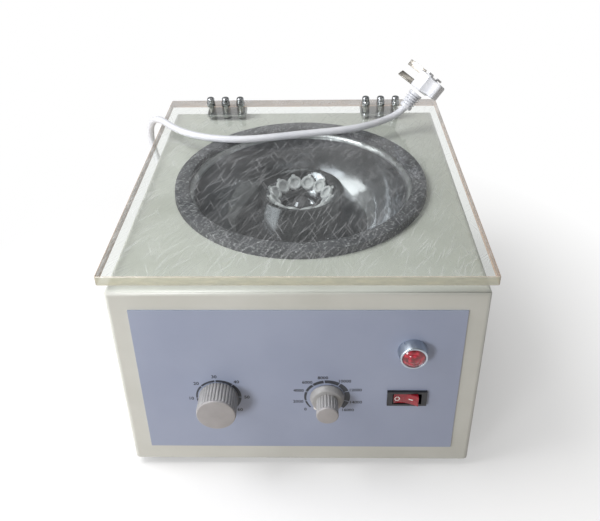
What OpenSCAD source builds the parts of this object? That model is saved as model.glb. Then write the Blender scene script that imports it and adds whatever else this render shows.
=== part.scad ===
// Bench centrifuge for small sample tubes: a steel case with a steel bowl, an angle rotor
// on a motor shaft, a control panel and a clear lid on two hinges.
// Millimetres. X runs to the right, Y to the back and Z up, and the feet stand on Z = 0.

/* [Case] */
// Width of the case
case_w = 280; // [270:1:320]
// Depth of the case from front to back
case_d = 302; // [292:1:340]
// Height of the case without its feet
case_h = 180; // [176:1:220]
// Thickness of the folded sheet steel
sheet_t = 1.2; // [0.8:0.1:2]
// Radius of the upright corners
corner_r = 4; // [2:0.5:8]
// Radius of the long bends along the top
bend_r = 5; // [3:0.5:8]
// Thickness of the base tray
tray_t = 1.5; // [1:0.1:2.5]
// Height of the tray's turned-up edge
tray_edge = 16; // [14:1:24]
// Slots in each side's vent
vent_count = 9; // [3:1:12]
// Width of a vent slot
vent_w = 3; // [2:0.5:5]
// Height of a vent slot
vent_h = 34; // [20:1:50]
// Distance from one vent slot to the next
vent_pitch = 10; // [8:0.5:14]

/* [Feet] */
// Height of a rubber foot
foot_h = 8; // [6:0.5:14]
// Radius of a rubber foot where it meets the tray
foot_r = 13; // [10:0.5:18]
// Distance of a foot's middle from the case's sides
foot_inset = 32; // [26:1:50]
// Radius of a foot screw
foot_screw_r = 2; // [1.5:0.1:3]

/* [Lid] */
// Width of the clear lid
lid_w = 286; // [282:1:330]
// Thickness of the clear sheet
lid_t = 8; // [5:0.5:12]
// Height of the lid's underside above the case
lid_gap = 7; // [6:0.5:12]
// How far the lid stands out in front of the case
lid_front = 2; // [0:0.5:8]
// How far the lid stops short of the case's back
lid_setback = 1; // [0:0.5:4]

/* [Hinges] */
// Distance of each hinge's middle from the centre line
hinge_x = 82.5; // [60:0.5:110]
// Metal between the middle of a hinge's outer screws and its ends
hinge_edge = 4.3; // [4.1:0.1:8]
// Thickness of a hinge leaf
leaf_t = 2; // [1.5:0.1:3]
// Radius of the hinge knuckle
knuckle_r = 4; // [3.5:0.1:6]
// Radius of the hinge pin
hinge_pin_r = 2; // [1.5:0.1:2.5]
// Distance from one hinge screw to the next
hinge_pitch = 15.7; // [12:0.1:16]
// Distance of the lid's screws in front of the hinge pin
lid_screw_y = 20; // [16:0.5:30]
// Radius of a hinge screw
hinge_screw_r = 2.4; // [1.5:0.1:2.6]
// Width across the flats of a cap nut
cap_nut_w = 8; // [7:0.1:10]
// Height of a cap nut
cap_nut_h = 10; // [8:0.5:12]

/* [Bowl] */
// Distance of the bowl's axis behind the case's front
bowl_back = 150; // [140:1:160]
// Radius of the bowl at its mouth
bowl_r = 94.5; // [90:0.5:104]
// Depth of the bowl below the top of the case
bowl_depth = 62; // [60:1:66]
// Radius of the bowl's flat floor
bowl_floor_r = 50; // [40:1:56]
// Thickness of the bowl's sheet
bowl_t = 1; // [0.6:0.1:1.6]
// Radius of the roll between the bowl's wall and its flange
roll_r = 5.5; // [3:0.5:6]
// Radius of the bowl's flange
flange_r = 111; // [108:0.5:112]
// Inner radius of the sealing ring
seal_in_r = 99.5; // [98:0.5:106]
// Outer radius of the sealing ring
seal_out_r = 112; // [108.5:0.5:118]
// Radius of the hole in the bowl's floor
boot_r = 15; // [12:0.5:20]

/* [Rotor] */
// Sample tubes in the rotor
tube_count = 12; // [6:1:12]
// Angle of the tubes from upright
tube_angle = 45; // [40:1:50]
// Radius of the circle of tube mouths
tube_circle_r = 25.5; // [25:0.5:30]
// Depth of that circle below the top of the case
tube_drop = 15; // [13:0.5:16]
// Radius of a sample tube
tube_r = 5.4; // [4:0.1:5.5]
// Length of a sample tube below its rim
tube_len = 38; // [30:0.5:39]
// Radius of a tube's cap
cap_r = 6; // [5.6:0.1:6]
// Thickness of a tube's cap
cap_t = 2.4; // [1.5:0.1:4]
// Metal left round the foot of each well
rotor_wall = 4; // [3:0.5:7]
// Width of the rotor's conical face on either side of the tube mouths
face_w = 13; // [10:0.5:15]
// Radius of the nut that holds the rotor
rotor_nut_r = 9; // [7:0.5:12]
// Height of the nut that holds the rotor
rotor_nut_h = 13; // [10:0.5:16]

/* [Motor] */
// Radius of the motor shaft
shaft_r = 5; // [4:0.5:6]
// Radius of the motor
motor_r = 39; // [36:0.5:45]
// Length of the motor with its end bells
motor_len = 86; // [84:1:90]
// Thickness of an end bell
bell_t = 10; // [9:0.5:13]
// Radius of a shaft bearing
bearing_r = 13; // [11:0.5:15]
// Height of a shaft bearing
bearing_h = 8; // [6:0.5:8]
// Width of the square motor plate
plate_w = 150; // [140:1:170]
// Thickness of the motor plate
plate_t = 3; // [2:0.5:5]
// Distance of each plate post from the motor's axis, along X and along Y
post_xy = 62; // [58:1:66]
// Radius of a plate post
post_r = 7; // [6:0.5:9]
// Height of a rubber isolator
iso_h = 12; // [8:0.5:16]
// Radius of a rubber isolator
iso_r = 10; // [9:0.5:12]

/* [Front panel] */
// Width of the front plate
label_w = 248; // [240:1:262]
// Height of the front plate
label_h = 147; // [140:1:154]
// Height of the front plate's lower edge above the case's
label_low = 16; // [10:0.5:18]
// Thickness of the front plate
label_t = 1; // [0.5:0.1:2]
// Height of the knobs and the switch above the case's lower edge
control_z = 74.5; // [68:0.5:80]
// Place of the timer knob left of the middle
timer_x = 63.5; // [55:0.5:80]
// Radius of the timer knob
timer_knob_r = 15.5; // [12:0.5:18]
// How far the knobs stand out of the front plate
knob_h = 18; // [14:0.5:24]
// Flutes round the timer knob
timer_flutes = 36; // [24:1:40]
// Place of the speed knob right of the middle
speed_x = 22; // [10:0.5:30]
// Radius of the speed knob's grip
speed_knob_r = 8.6; // [7:0.1:10]
// Radius of the speed knob's skirt
skirt_r = 13; // [11:0.5:15]
// Thickness of the speed knob's skirt
skirt_t = 4.5; // [3:0.5:6]
// Flutes round the speed knob
speed_flutes = 20; // [14:1:24]
// Place of the lamp and the switch right of the middle
lamp_x = 86; // [80:0.5:96]
// Height of the lamp above the case's lower edge
lamp_z = 124; // [112:0.5:134]
// Radius of the lamp's bezel
lamp_r = 10; // [8.5:0.5:13]
// How far the lamp's bezel stands out
lamp_len = 8; // [5:0.5:12]
// Width of the switch's frame
switch_w = 31; // [28:0.5:34]
// Height of the switch's frame
switch_h = 15; // [13:0.5:18]
// Angle that the rocker turns between off and on
rocker_throw = 20; // [12:1:22]

/* [Rear] */
// Place of the cord's exit right of the middle
gland_x = 60; // [40:1:75]
// Height of the cord's exit above the floor
gland_z = 30; // [28:1:44]
// Length of the cord's strain relief
relief_len = 34; // [25:1:45]
// Distance of the fuse holder's middle from the case's right side
fuse_inset = 45; // [25:1:55]
// Radius of the fuse holder's cap
fuse_r = 7; // [6:0.5:9]
// How far the fuse holder's cap stands out
fuse_reach = 9.5; // [9:0.5:14]

/* [Cord] */
// Radius of the mains cord
cord_r = 3.5; // [3:0.1:3.5]
// Turns of the spare cord's coil
coil_turns = 3; // [3:1:3]
// Middle radius of the coil's outer turn
coil_r = 44; // [42:0.5:46]
// Distance from one turn or layer of the coil to the next
coil_pitch = 7.6; // [7.5:0.1:8]

/* [Hidden] */
$fn = 64;

// Gap between two pieces that move past each other
clear = 0.3;
// Gap between two pieces of one assembly that only sit in each other
slip = 0.1;
// Radial gap between a turning shaft and its bearing
run_fit = 0.05;
// Overrun of a cutting tool
cut = 1;

knob_gap = 0.5;
knob_reach = label_t + knob_gap + knob_h;
rear_reach = max(fuse_reach, 2 * knuckle_r);
fuse_x = case_w / 2 - fuse_inset;
fuse_body = 30;
bush_rim = 5;
front_y = (knob_reach - rear_reach - case_d) / 2;
back_y = front_y + case_d;
mid_y = (front_y + back_y) / 2;
deck_z = foot_h + case_h;
lid_z = deck_z + lid_gap;
lid_top = lid_z + lid_t;
tray_z = foot_h + tray_t;
bowl_y = front_y + bowl_back;

label_z = foot_h + label_low + label_h / 2;
knobs_z = foot_h + control_z;
switch_x = lamp_x - 1.5;

bowl_floor_z = deck_z - bowl_depth;
wall_top_z = deck_z + bowl_t - roll_r;
bowl_hole_r = bowl_r + roll_r + clear;
boot_flange = 4;
boot_bore_r = shaft_r + 1;

// The tube mouths' circle, and the rotor's section worked out from the tubes
cap_z = deck_z - tube_drop;
well_r = tube_r + 0.2;
well_len = tube_len + 1.5;
rim_t = 1.2;
seat_depth = 0.8;
well_foot_r = tube_circle_r + well_len * sin(tube_angle);
well_foot_z = cap_z - well_len * cos(tube_angle);
rotor_r = well_foot_r + well_r * cos(tube_angle) + rotor_wall;
rotor_shoulder_z = well_foot_z + well_r * sin(tube_angle);
rotor_bottom_z = well_foot_z - well_r * sin(tube_angle) - 0.75 * rotor_wall;
hub_floor_z = cap_z - face_w * sin(tube_angle) - 6;
hub_r = tube_circle_r - face_w * cos(tube_angle);
rim_in_r = tube_circle_r + face_w * cos(tube_angle);
rim_z = cap_z + face_w * sin(tube_angle);
rim_w = 3.5;
collar_r = shaft_r + 5;
collar_h = 7;

plate_z = bowl_floor_z - bowl_t - 16 - plate_t;
motor_z = plate_z - motor_len;
motor_wall = 3;
bearing_gap = 0.05;
bell_hole_r = shaft_r + 1.5;
field_lift = 30;
field_z = motor_z + field_lift;
field_h = 34;
core_depth = 11.5;
armature_r = motor_r - motor_wall - core_depth;
air_gap = 0.6;
commutator_r = 14;
commutator_z = motor_z + bell_t + 3;
commutator_h = 12;
brush_z = commutator_z + commutator_h / 2;
brush_w = 6;
holder_w = 9;
holder_reach = motor_r + 4;
plate_hole_r = bell_hole_r + 4;
motor_screw_r = 2.4;
motor_screw_circle = 29;
iso_bolt_r = 3;
post_top_z = plate_z - iso_h;
plate_corner_r = 10;
// Thread that each kind of screw has in the metal under it
iso_bolt_grip = 12;
motor_screw_grip = 7;
iso_bolt_head = 4;
motor_screw_head = 3;
coil_slot_w = 14;
coil_slot_in = 6;
coil_slot_out = 2;
fan_lift = 4;
shaft_end = 4;

tray_screw_z = tray_z + 8;
tray_screw_r = 1.9;
screw_head_h = 2.4;
tray_screw_step = case_d / 3;

pin_y = back_y + knuckle_r;
pin_z = lid_z - knuckle_r;
knuckle_gap = 0.4;
hinge_w = 2 * (hinge_pitch + hinge_edge);
knuckle_w = (hinge_w - 2 * knuckle_gap) / 3;
leaf_drop = 26;
leaf_front = 5.5;
leaf_screw_z = pin_z - 17;
lid_screw_row_y = pin_y - lid_screw_y;

bush_r = 5;
timer_box = 44;
timer_deep = 34;
timer_shaft_r = 3;
nut_t = 2.2;
speed_body_r = 12;
speed_deep = 11;
lamp_body_r = 6;
lamp_deep = 26;
lens_r = lamp_r - 1.2;
switch_box_w = switch_w - 3.6;
switch_box_h = switch_h - 2.4;
switch_deep = 22;
switch_flange = 2.2;
rocker_w = 19.2;
rocker_h = switch_h - 4.6;
rocker_tip = 5.6;
rocker_pin_r = 1.2;
rocker_pin_in = 0.6;
rocker_well_w = 22.6;
rocker_y = front_y - label_t + 2;

board_w = 110;
board_d = 56;
board_t = 1.6;
board_lift = 7;
board_y = front_y + 42;
board_hole = 4;

// The mains cord lies on the floor plus a hair's gap
cord_rings = 24;
coil_x = -35;
coil_y = 218;
coil_z = cord_r + 1.3;
coil_end = 2 * cord_r;
cord_sides = 10;
tie_w = 10;
tie_t = 0.8;

// Route from the gland to the coil, chosen by hand
lead_route = [
    [gland_x, back_y + relief_len, gland_z], [gland_x, back_y + relief_len + 14, gland_z - 1.5],
    [59, 219, 23], [55, 234, 14], [46, 247, 7], [33, 256, 5], [18, 261, 4.8], [2, 262, 4.8],
    [-13, 262, 4.8], [-28, 262, 4.8],
];
// Route from the coil round the left side and up beside the case
run_route = [
    [-42, 262, 12.4], [-57, 261.5, 11.4], [-72, 259.5, 8], [-87, 255, 4.8], [-101, 248, 3.9],
    [-114, 239, 3.9], [-125, 228, 3.9], [-134, 215, 3.9], [-141, 201, 3.9], [-145.5, 186, 3.9],
    [-148, 170, 3.9], [-149, 152, 3.9], [-149, 134, 3.9], [-149, 119.5, 8], [-149, 109, 18],
    [-149, 105, 32], [-149, 104, 48], [-149, 104, 65], [-149, 104, 82], [-149, 104, 98],
    [-149.5, 104.5, 113], [-151.5, 106.5, 128.5], [-154, 109, 143], [-157, 112, 156],
];
// Route over the lid's edge and across the lid to the plug
lid_route = [
    [-157, 112, 156], [-160, 115, 169], [-161, 116, 180], [-158.5, 113, 193], [-151.5, 106, 203.5],
    [-141, 93.5, 208.2], [-128, 80.5, 207.4], [-114, 70, 206.8], [-98, 61.5, 206.8],
    [-80, 56.5, 206.8], [-61, 54.5, 206.8], [-42, 56, 206.8], [-22, 60, 206.8],
    [-2, 64.5, 206.8], [18, 68.5, 206.8], [38, 73, 206.8], [56, 79, 206.8], [73, 88, 206.8],
    [86.6, 97.1, 207.6], [95.7, 101.9, 210.3], [103.8, 105.1, 215.9],
];
// Where the plug starts on the lid, the way it lies and the way its blades point
plug_start = [103.8, 105.1, 215.9];
plug_along = [0.61, 0.22, 0.76];
plug_blades_up = [-0.62, 0.73, 0.29];
plug_relief = 16;
plug_w = 30;
plug_l = 30;
plug_face = 7;
plug_slab = 13;
plug_back = 20;
blade_w = 6.4;
blade_t = 1.5;
blade_l = 18.5;
earth_l = 21;

function unit(v) = v / norm(v);

// Direction of a route at each of its points
function way(route, i) =
    i == 0 ? unit(route[1] - route[0])
    : i == len(route) - 1 ? unit(route[i] - route[i - 1])
    : unit(unit(route[i] - route[i - 1]) + unit(route[i + 1] - route[i]));

// A ring's sideways and upward directions, carried along the route so that it doesn't twist
function carried(route, i, side) =
    let (t = way(route, i))
    unit(side - (side * t) * t);
function sides_of(route, start) =
    [for (i = 0, s = carried(route, 0, start);
          i < len(route);
          i = i + 1, s = i < len(route) ? carried(route, i, s) : s) s];

// One unbroken tube along a route, with flat ends square to the given directions
module tube(route, r, sides, first_way, last_way, start_side) {
    n = len(route);
    frame_side = sides_of(route, start_side);
    ways = [for (i = [0:n - 1])
        i == 0 ? unit(first_way) : i == n - 1 ? unit(last_way) : way(route, i)];
    points = [for (i = [0:n - 1]) for (k = [0:sides - 1])
        let (s = unit(frame_side[i] - (frame_side[i] * ways[i]) * ways[i]),
             u = cross(ways[i], s))
        route[i] + r * (cos(360 * k / sides) * s + sin(360 * k / sides) * u)];
    skin = [for (i = [0:n - 2]) for (k = [0:sides - 1])
        let (a = i * sides + k, b = i * sides + (k + 1) % sides, c = a + sides, d = b + sides)
        each [[a, d, b], [a, c, d]]];
    lids = [for (k = [1:sides - 2])
        each [[0, k, k + 1], [(n - 1) * sides, (n - 1) * sides + k + 1, (n - 1) * sides + k]]];
    polyhedron(points, concat(skin, lids));
}

// Flat shape of a rectangle with round corners
module round_rect(w, d, r) {
    square([w - 2 * r, d], center = true);
    square([w, d - 2 * r], center = true);
    for (x = [-1, 1], y = [-1, 1]) translate([x * (w / 2 - r), y * (d / 2 - r)]) circle(r);
}

// Upright profile with two round top corners
module arch(w, h, r) {
    translate([-w / 2, 0]) square([w, h - r]);
    translate([r - w / 2, 0]) square([w - 2 * r, h]);
    for (x = [-1, 1]) translate([x * (w / 2 - r), h - r]) circle(r);
}

// Box with round upright corners and round top edges, standing on Z = 0
module hood(w, d, h, side_r, top_r) {
    intersection() {
        linear_extrude(h) round_rect(w, d, side_r);
        rotate([90, 0, 0]) translate([0, 0, -d / 2 - cut])
            linear_extrude(d + 2 * cut) arch(w, h, top_r);
        rotate([90, 0, 90]) translate([0, 0, -w / 2 - cut])
            linear_extrude(w + 2 * cut) arch(d, h, top_r);
    }
}

// A rod along -Y, for holes and bushes in the front; its start lies on y
module front_rod(x, y, z, r, length) {
    translate([x, y, z]) rotate([90, 0, 0]) cylinder(r = r, h = length);
}

// Screw with a round head: the head lies above Z = 0 and the shank below
module screw(r, length, head_r, head_h) {
    cylinder(r = head_r, h = head_h);
    translate([0, 0, -length]) cylinder(r = r, h = length);
}

module at_feet() {
    for (x = [-1, 1], y = [-1, 1])
        translate([x * (case_w / 2 - foot_inset), mid_y + y * (case_d / 2 - foot_inset), 0]) children();
}

module at_posts() {
    for (x = [-1, 1], y = [-1, 1]) translate([x * post_xy, bowl_y + y * post_xy, 0]) children();
}

module at_tray_screws() {
    for (side = [-1, 1], step = [-1, 0, 1])
        translate([side * case_w / 2, mid_y + step * tray_screw_step, tray_screw_z])
            rotate([0, side * 90, 0]) children();
}

module at_board_corners() {
    for (x = [-1, 1], y = [-1, 1])
        translate([x * (board_w / 2 - board_hole), board_y + y * (board_d / 2 - board_hole), 0]) children();
}

module at_hinges() {
    for (x = [-1, 1]) translate([x * hinge_x, 0, 0]) children();
}

module at_hinge_screws() {
    at_hinges() for (step = [-1, 0, 1]) translate([step * hinge_pitch, 0, 0]) children();
}

// Case
module vent() {
    for (i = [0:vent_count - 1])
        translate([-cut - sheet_t, (i - (vent_count - 1) / 2) * vent_pitch - vent_w / 2, 0])
            cube([2 * cut + 2 * sheet_t, vent_w, vent_h]);
}

module case_shell() {
    color("#d9d6c3")
    difference() {
        translate([0, mid_y, foot_h]) hood(case_w, case_d, case_h, corner_r, bend_r);
        translate([0, mid_y, foot_h - cut])
            hood(case_w - 2 * sheet_t, case_d - 2 * sheet_t, case_h + cut - sheet_t,
                 corner_r - sheet_t, bend_r - sheet_t);
        translate([0, bowl_y, deck_z - bend_r]) cylinder(r = bowl_hole_r, h = bend_r + cut, $fn = 96);
        front_rod(-timer_x, front_y + bend_r, knobs_z, bush_r + slip, bend_r + cut);
        front_rod(speed_x, front_y + bend_r, knobs_z, bush_r + slip, bend_r + cut);
        front_rod(lamp_x, front_y + bend_r, foot_h + lamp_z, lamp_body_r + slip, bend_r + cut);
        translate([switch_x - switch_box_w / 2 - slip, front_y - cut,
                   knobs_z - switch_box_h / 2 - slip])
            cube([switch_box_w + 2 * slip, bend_r + cut, switch_box_h + 2 * slip]);
        front_rod(gland_x, back_y + cut, gland_z, bush_r + slip, bend_r + cut);
        front_rod(fuse_x, back_y + cut, gland_z, bush_r + slip, bend_r + cut);
        at_tray_screws() translate([0, 0, -bend_r]) cylinder(r = tray_screw_r + slip, h = bend_r + cut);
        at_hinge_screws() front_rod(0, back_y + cut, leaf_screw_z, hinge_screw_r + slip, bend_r + cut);
        for (side = [-1, 1]) translate([side * (case_w / 2 - sheet_t / 2), bowl_y, foot_h + 38]) vent();
    }
}

module base_tray() {
    inset = sheet_t + slip;
    w = case_w - 2 * inset;
    d = case_d - 2 * inset;
    color("#b9bab4")
    difference() {
        translate([0, mid_y, foot_h]) linear_extrude(tray_edge) round_rect(w, d, corner_r - sheet_t);
        translate([0, mid_y, tray_z]) linear_extrude(tray_edge)
            round_rect(w - 2 * tray_t, d - 2 * tray_t, corner_r - sheet_t);
        at_tray_screws() translate([0, 0, -4 * tray_t - sheet_t])
            cylinder(r = tray_screw_r + slip, h = 4 * tray_t + sheet_t);
        at_feet() translate([0, 0, foot_h - cut]) cylinder(r = foot_screw_r + slip, h = tray_t + 2 * cut);
        translate([0, bowl_y, foot_h - cut]) for (i = [-4:4])
            translate([-30, i * 9 - 2, 0]) cube([60, 4, tray_t + 2 * cut]);
        front_rod(gland_x, back_y, gland_z, bush_r + bush_rim, 4 * tray_t);
        front_rod(fuse_x, back_y, gland_z, bush_r + bush_rim, 4 * tray_t);
    }
}

module tray_screws() {
    color("#a8a9ab") at_tray_screws() screw(tray_screw_r, 8, 2 * tray_screw_r, screw_head_h);
}

module rubber_feet() {
    color("#26262a")
    at_feet() difference() {
        cylinder(r1 = foot_r - 1.5, r2 = foot_r, h = foot_h);
        translate([0, 0, -cut]) cylinder(r = foot_screw_r + slip, h = foot_h + 2 * cut);
        translate([0, 0, -cut]) cylinder(r = 2.2 * foot_screw_r + slip, h = foot_h / 2 + cut);
    }
}

module foot_screws() {
    color("#a8a9ab")
    at_feet() translate([0, 0, foot_h / 2]) mirror([0, 0, 1])
        screw(foot_screw_r, foot_h / 2 + tray_t + 4, 2.2 * foot_screw_r, screw_head_h);
}

module front_plate() {
    color("#a5acbe")
    difference() {
        translate([-label_w / 2, front_y - label_t, label_z - label_h / 2])
            cube([label_w, label_t, label_h]);
        front_rod(-timer_x, front_y + cut, knobs_z, bush_r + slip, label_t + 2 * cut);
        front_rod(speed_x, front_y + cut, knobs_z, bush_r + slip, label_t + 2 * cut);
        front_rod(lamp_x, front_y + cut, foot_h + lamp_z, lamp_body_r + slip, label_t + 2 * cut);
        translate([switch_x - switch_box_w / 2 - slip, front_y - label_t - cut,
                   knobs_z - switch_box_h / 2 - slip])
            cube([switch_box_w + 2 * slip, label_t + 2 * cut, switch_box_h + 2 * slip]);
    }
}

// Bowl
wall_steps = 16;
roll_steps = 6;

// Points down the bowl's wall, on an ellipse that grows by the sheet's thickness
function wall_arc(grow) = [for (i = [0:wall_steps])
    let (a = 90 * i / wall_steps)
    [bowl_floor_r + (bowl_r - bowl_floor_r + grow) * cos(a),
     wall_top_z - (wall_top_z - bowl_floor_z + grow) * sin(a)]];

// Points of the roll from the flange in to the wall's top
function roll_arc(r) = [for (i = [0:roll_steps])
    let (a = 90 + 90 * i / roll_steps)
    [bowl_r + roll_r + r * cos(a), wall_top_z + r * sin(a)]];

module bowl() {
    color("#c9ccd0")
    translate([0, bowl_y, 0]) rotate_extrude($fn = 96) polygon(concat(
        [[flange_r, deck_z], [flange_r, deck_z + bowl_t]],
        roll_arc(roll_r),
        wall_arc(0),
        [[boot_r, bowl_floor_z], [boot_r, bowl_floor_z - bowl_t]],
        [for (i = [wall_steps:-1:0]) wall_arc(bowl_t)[i]],
        [for (i = [roll_steps:-1:0]) roll_arc(roll_r - bowl_t)[i]]
    ));
}

module sealing_ring() {
    ring_z = deck_z + bowl_t;
    lip = 1;
    color("#4a4b50")
    translate([0, bowl_y, 0]) rotate_extrude($fn = 96) polygon([
        [seal_in_r, ring_z], [flange_r + slip, ring_z], [flange_r + slip, deck_z], [seal_out_r, deck_z],
        [seal_out_r, lid_z - clear - lip], [seal_out_r - lip, lid_z - clear],
        [seal_in_r + lip, lid_z - clear], [seal_in_r, lid_z - clear - lip],
    ]);
}

module shaft_boot() {
    top = bowl_floor_z + 2;
    low = bowl_floor_z - bowl_t - 2;
    color("#2b2b2e")
    translate([0, bowl_y, 0]) rotate_extrude() polygon([
        [boot_bore_r, low], [boot_r + boot_flange, low], [boot_r + boot_flange, bowl_floor_z - bowl_t],
        [boot_r - slip, bowl_floor_z - bowl_t], [boot_r - slip, bowl_floor_z],
        [boot_r + boot_flange, bowl_floor_z], [boot_r + boot_flange, top - 1],
        [boot_r + boot_flange - 1, top], [boot_bore_r, top],
    ]);
}

// Motor and its mounting
module plate_posts() {
    color("#b4b6b8")
    at_posts() difference() {
        translate([0, 0, tray_z]) cylinder(r = post_r, h = post_top_z - tray_z);
        translate([0, 0, post_top_z - iso_bolt_grip - 2])
            cylinder(r = iso_bolt_r + slip, h = iso_bolt_grip + 2 + cut);
    }
}

module rubber_isolators() {
    color("#2b2b2e")
    at_posts() difference() {
        translate([0, 0, post_top_z]) cylinder(r = iso_r, h = iso_h);
        translate([0, 0, post_top_z - cut]) cylinder(r = iso_bolt_r + slip, h = iso_h + 2 * cut);
    }
}

module isolator_bolts() {
    color("#a8a9ab")
    at_posts() translate([0, 0, plate_z + plate_t])
        screw(iso_bolt_r, plate_t + iso_h + iso_bolt_grip, 1.8 * iso_bolt_r, iso_bolt_head);
}

module motor_plate() {
    color("#b9bab4")
    difference() {
        translate([0, bowl_y, plate_z]) linear_extrude(plate_t) round_rect(plate_w, plate_w, plate_corner_r);
        translate([0, bowl_y, plate_z - cut]) cylinder(r = plate_hole_r, h = plate_t + 2 * cut);
        at_posts() translate([0, 0, plate_z - cut]) cylinder(r = iso_bolt_r + slip, h = plate_t + 2 * cut);
        at_motor_screws() translate([0, 0, plate_z - cut])
            cylinder(r = motor_screw_r + slip, h = plate_t + 2 * cut);
    }
}

module at_motor_screws() {
    for (i = [0:3])
        translate([0, bowl_y, 0]) rotate(90 * i + 45) translate([motor_screw_circle, 0, 0]) children();
}

module motor_screws() {
    color("#a8a9ab")
    at_motor_screws() translate([0, 0, plate_z + plate_t])
        screw(motor_screw_r, plate_t + motor_screw_grip, 1.8 * motor_screw_r, motor_screw_head);
}

module motor_housing() {
    color("#3f4a55")
    difference() {
        translate([0, bowl_y, motor_z + bell_t]) cylinder(r = motor_r, h = motor_len - 2 * bell_t);
        translate([0, bowl_y, motor_z]) cylinder(r = motor_r - motor_wall, h = motor_len);
        for (side = [-1, 1])
            translate([side * motor_r - holder_w / 2 - slip, bowl_y - holder_w / 2 - slip,
                       brush_z - holder_w / 2 - slip])
                cube(holder_w + 2 * slip);
    }
}

// End bell whose bearing pocket opens towards the motor's middle
module end_bell() {
    difference() {
        cylinder(r = motor_r, h = bell_t);
        translate([0, 0, -cut]) cylinder(r = bell_hole_r, h = bell_t + 2 * cut);
        translate([0, 0, bell_t - bearing_h - bearing_gap])
            cylinder(r = bearing_r + bearing_gap, h = bearing_h + bearing_gap + cut);
    }
}

module motor_top_bell() {
    color("#9fa3a6")
    difference() {
        translate([0, bowl_y, plate_z]) mirror([0, 0, 1]) end_bell();
        at_motor_screws() translate([0, 0, plate_z - motor_screw_grip - 1])
            cylinder(r = motor_screw_r + slip, h = motor_screw_grip + 1 + cut);
    }
}

module motor_bottom_bell() {
    color("#9fa3a6") translate([0, bowl_y, motor_z]) end_bell();
}

module bearing() {
    difference() {
        cylinder(r = bearing_r, h = bearing_h);
        translate([0, 0, -cut]) cylinder(r = shaft_r + run_fit, h = bearing_h + 2 * cut);
    }
}

module upper_bearing() {
    color("#c4c6c8") translate([0, bowl_y, plate_z - bell_t]) bearing();
}

module lower_bearing() {
    color("#c4c6c8") translate([0, bowl_y, motor_z + bell_t - bearing_h]) bearing();
}

module field_core() {
    outer = motor_r - motor_wall - slip;
    color("#6b5a48")
    translate([0, bowl_y, field_z]) difference() {
        cylinder(r = outer, h = field_h);
        translate([0, 0, -cut]) cylinder(r = armature_r + air_gap, h = field_h + 2 * cut);
        for (side = [-1, 1]) translate([-coil_slot_w / 2, side * (armature_r + air_gap), -cut])
            translate([0, side > 0 ? -coil_slot_out : -coil_slot_in, 0])
                cube([coil_slot_w, coil_slot_in + coil_slot_out, field_h + 2 * cut]);
    }
}

module carbon_brushes() {
    color("#2f2f31")
    for (side = [0, 180]) translate([0, bowl_y, brush_z]) rotate(side)
        translate([commutator_r + clear, -brush_w / 2 + slip, -brush_w / 2 + slip])
            cube([12, brush_w - 2 * slip, brush_w - 2 * slip]);
}

module brush_holders() {
    start = commutator_r + 3;
    color("#b08d4a")
    for (side = [0, 180]) translate([0, bowl_y, brush_z]) rotate(side) difference() {
        translate([start, -holder_w / 2, -holder_w / 2]) cube([holder_reach - start, holder_w, holder_w]);
        translate([start - cut, -brush_w / 2, -brush_w / 2]) cube([holder_reach - start, brush_w, brush_w]);
    }
}

// Turning parts
module motor_shaft() {
    color("#b9bcc0")
    translate([0, bowl_y, 0]) {
        translate([0, 0, motor_z + 1])
            cylinder(r = shaft_r, h = hub_floor_z + rotor_nut_h - shaft_end - motor_z - 1);
        translate([0, 0, rotor_bottom_z - collar_h]) cylinder(r = collar_r, h = collar_h);
    }
}

module armature() {
    slots = 12;
    color("#8a5a34")
    translate([0, bowl_y, field_z - 2]) difference() {
        cylinder(r = armature_r, h = field_h + 4);
        translate([0, 0, -cut]) cylinder(r = shaft_r + slip / 2, h = field_h + 4 + 2 * cut);
        for (i = [0:slots - 1]) rotate(360 * i / slots) translate([armature_r - 5, -1, -cut])
            cube([6, 2, field_h + 4 + 2 * cut]);
    }
}

module commutator() {
    color("#b87333")
    translate([0, bowl_y, commutator_z]) difference() {
        cylinder(r = commutator_r, h = commutator_h);
        translate([0, 0, -cut]) cylinder(r = shaft_r + slip / 2, h = commutator_h + 2 * cut);
    }
}

module motor_fan() {
    fan_z = field_z + field_h + fan_lift;
    fan_h = plate_z - bell_t - fan_z - 1;
    blades = 9;
    blade_out = motor_r - motor_wall - 4;
    hub = shaft_r + 5;
    disc_t = 1.5;
    color("#3a3a3c")
    translate([0, bowl_y, fan_z]) difference() {
        union() {
            cylinder(r = hub, h = fan_h);
            cylinder(r = blade_out, h = disc_t);
            for (i = [0:blades - 1]) rotate(360 * i / blades) translate([hub - 2, -0.75, disc_t / 2])
                cube([blade_out - 1 - hub, 1.5, fan_h - disc_t / 2 - 0.5]);
        }
        translate([0, 0, -cut]) cylinder(r = shaft_r + slip / 2, h = fan_h + 2 * cut);
    }
}

// Places a child with its Z axis out of a well's mouth
module at_tubes() {
    for (i = [0:tube_count - 1])
        translate([0, bowl_y, cap_z]) rotate(360 * (i + 0.5) / tube_count)
            translate([tube_circle_r, 0, 0]) rotate([0, -tube_angle, 0]) children();
}

module rotor_head() {
    color("#8f9296")
    difference() {
        translate([0, bowl_y, 0]) rotate_extrude($fn = 96) polygon([
            [shaft_r + slip / 2, rotor_bottom_z], [rotor_r - 5, rotor_bottom_z],
            [rotor_r, rotor_bottom_z + 5], [rotor_r, rotor_shoulder_z],
            [rim_in_r + rim_w, rim_z], [rim_in_r, rim_z], [hub_r, cap_z - face_w * sin(tube_angle)],
            [hub_r, hub_floor_z], [shaft_r + slip / 2, hub_floor_z],
        ]);
        at_tubes() translate([0, 0, -well_len]) cylinder(r = well_r, h = well_len + 4);
        at_tubes() translate([0, 0, -seat_depth]) cylinder(r = cap_r + clear, h = 6);
    }
}

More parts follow.
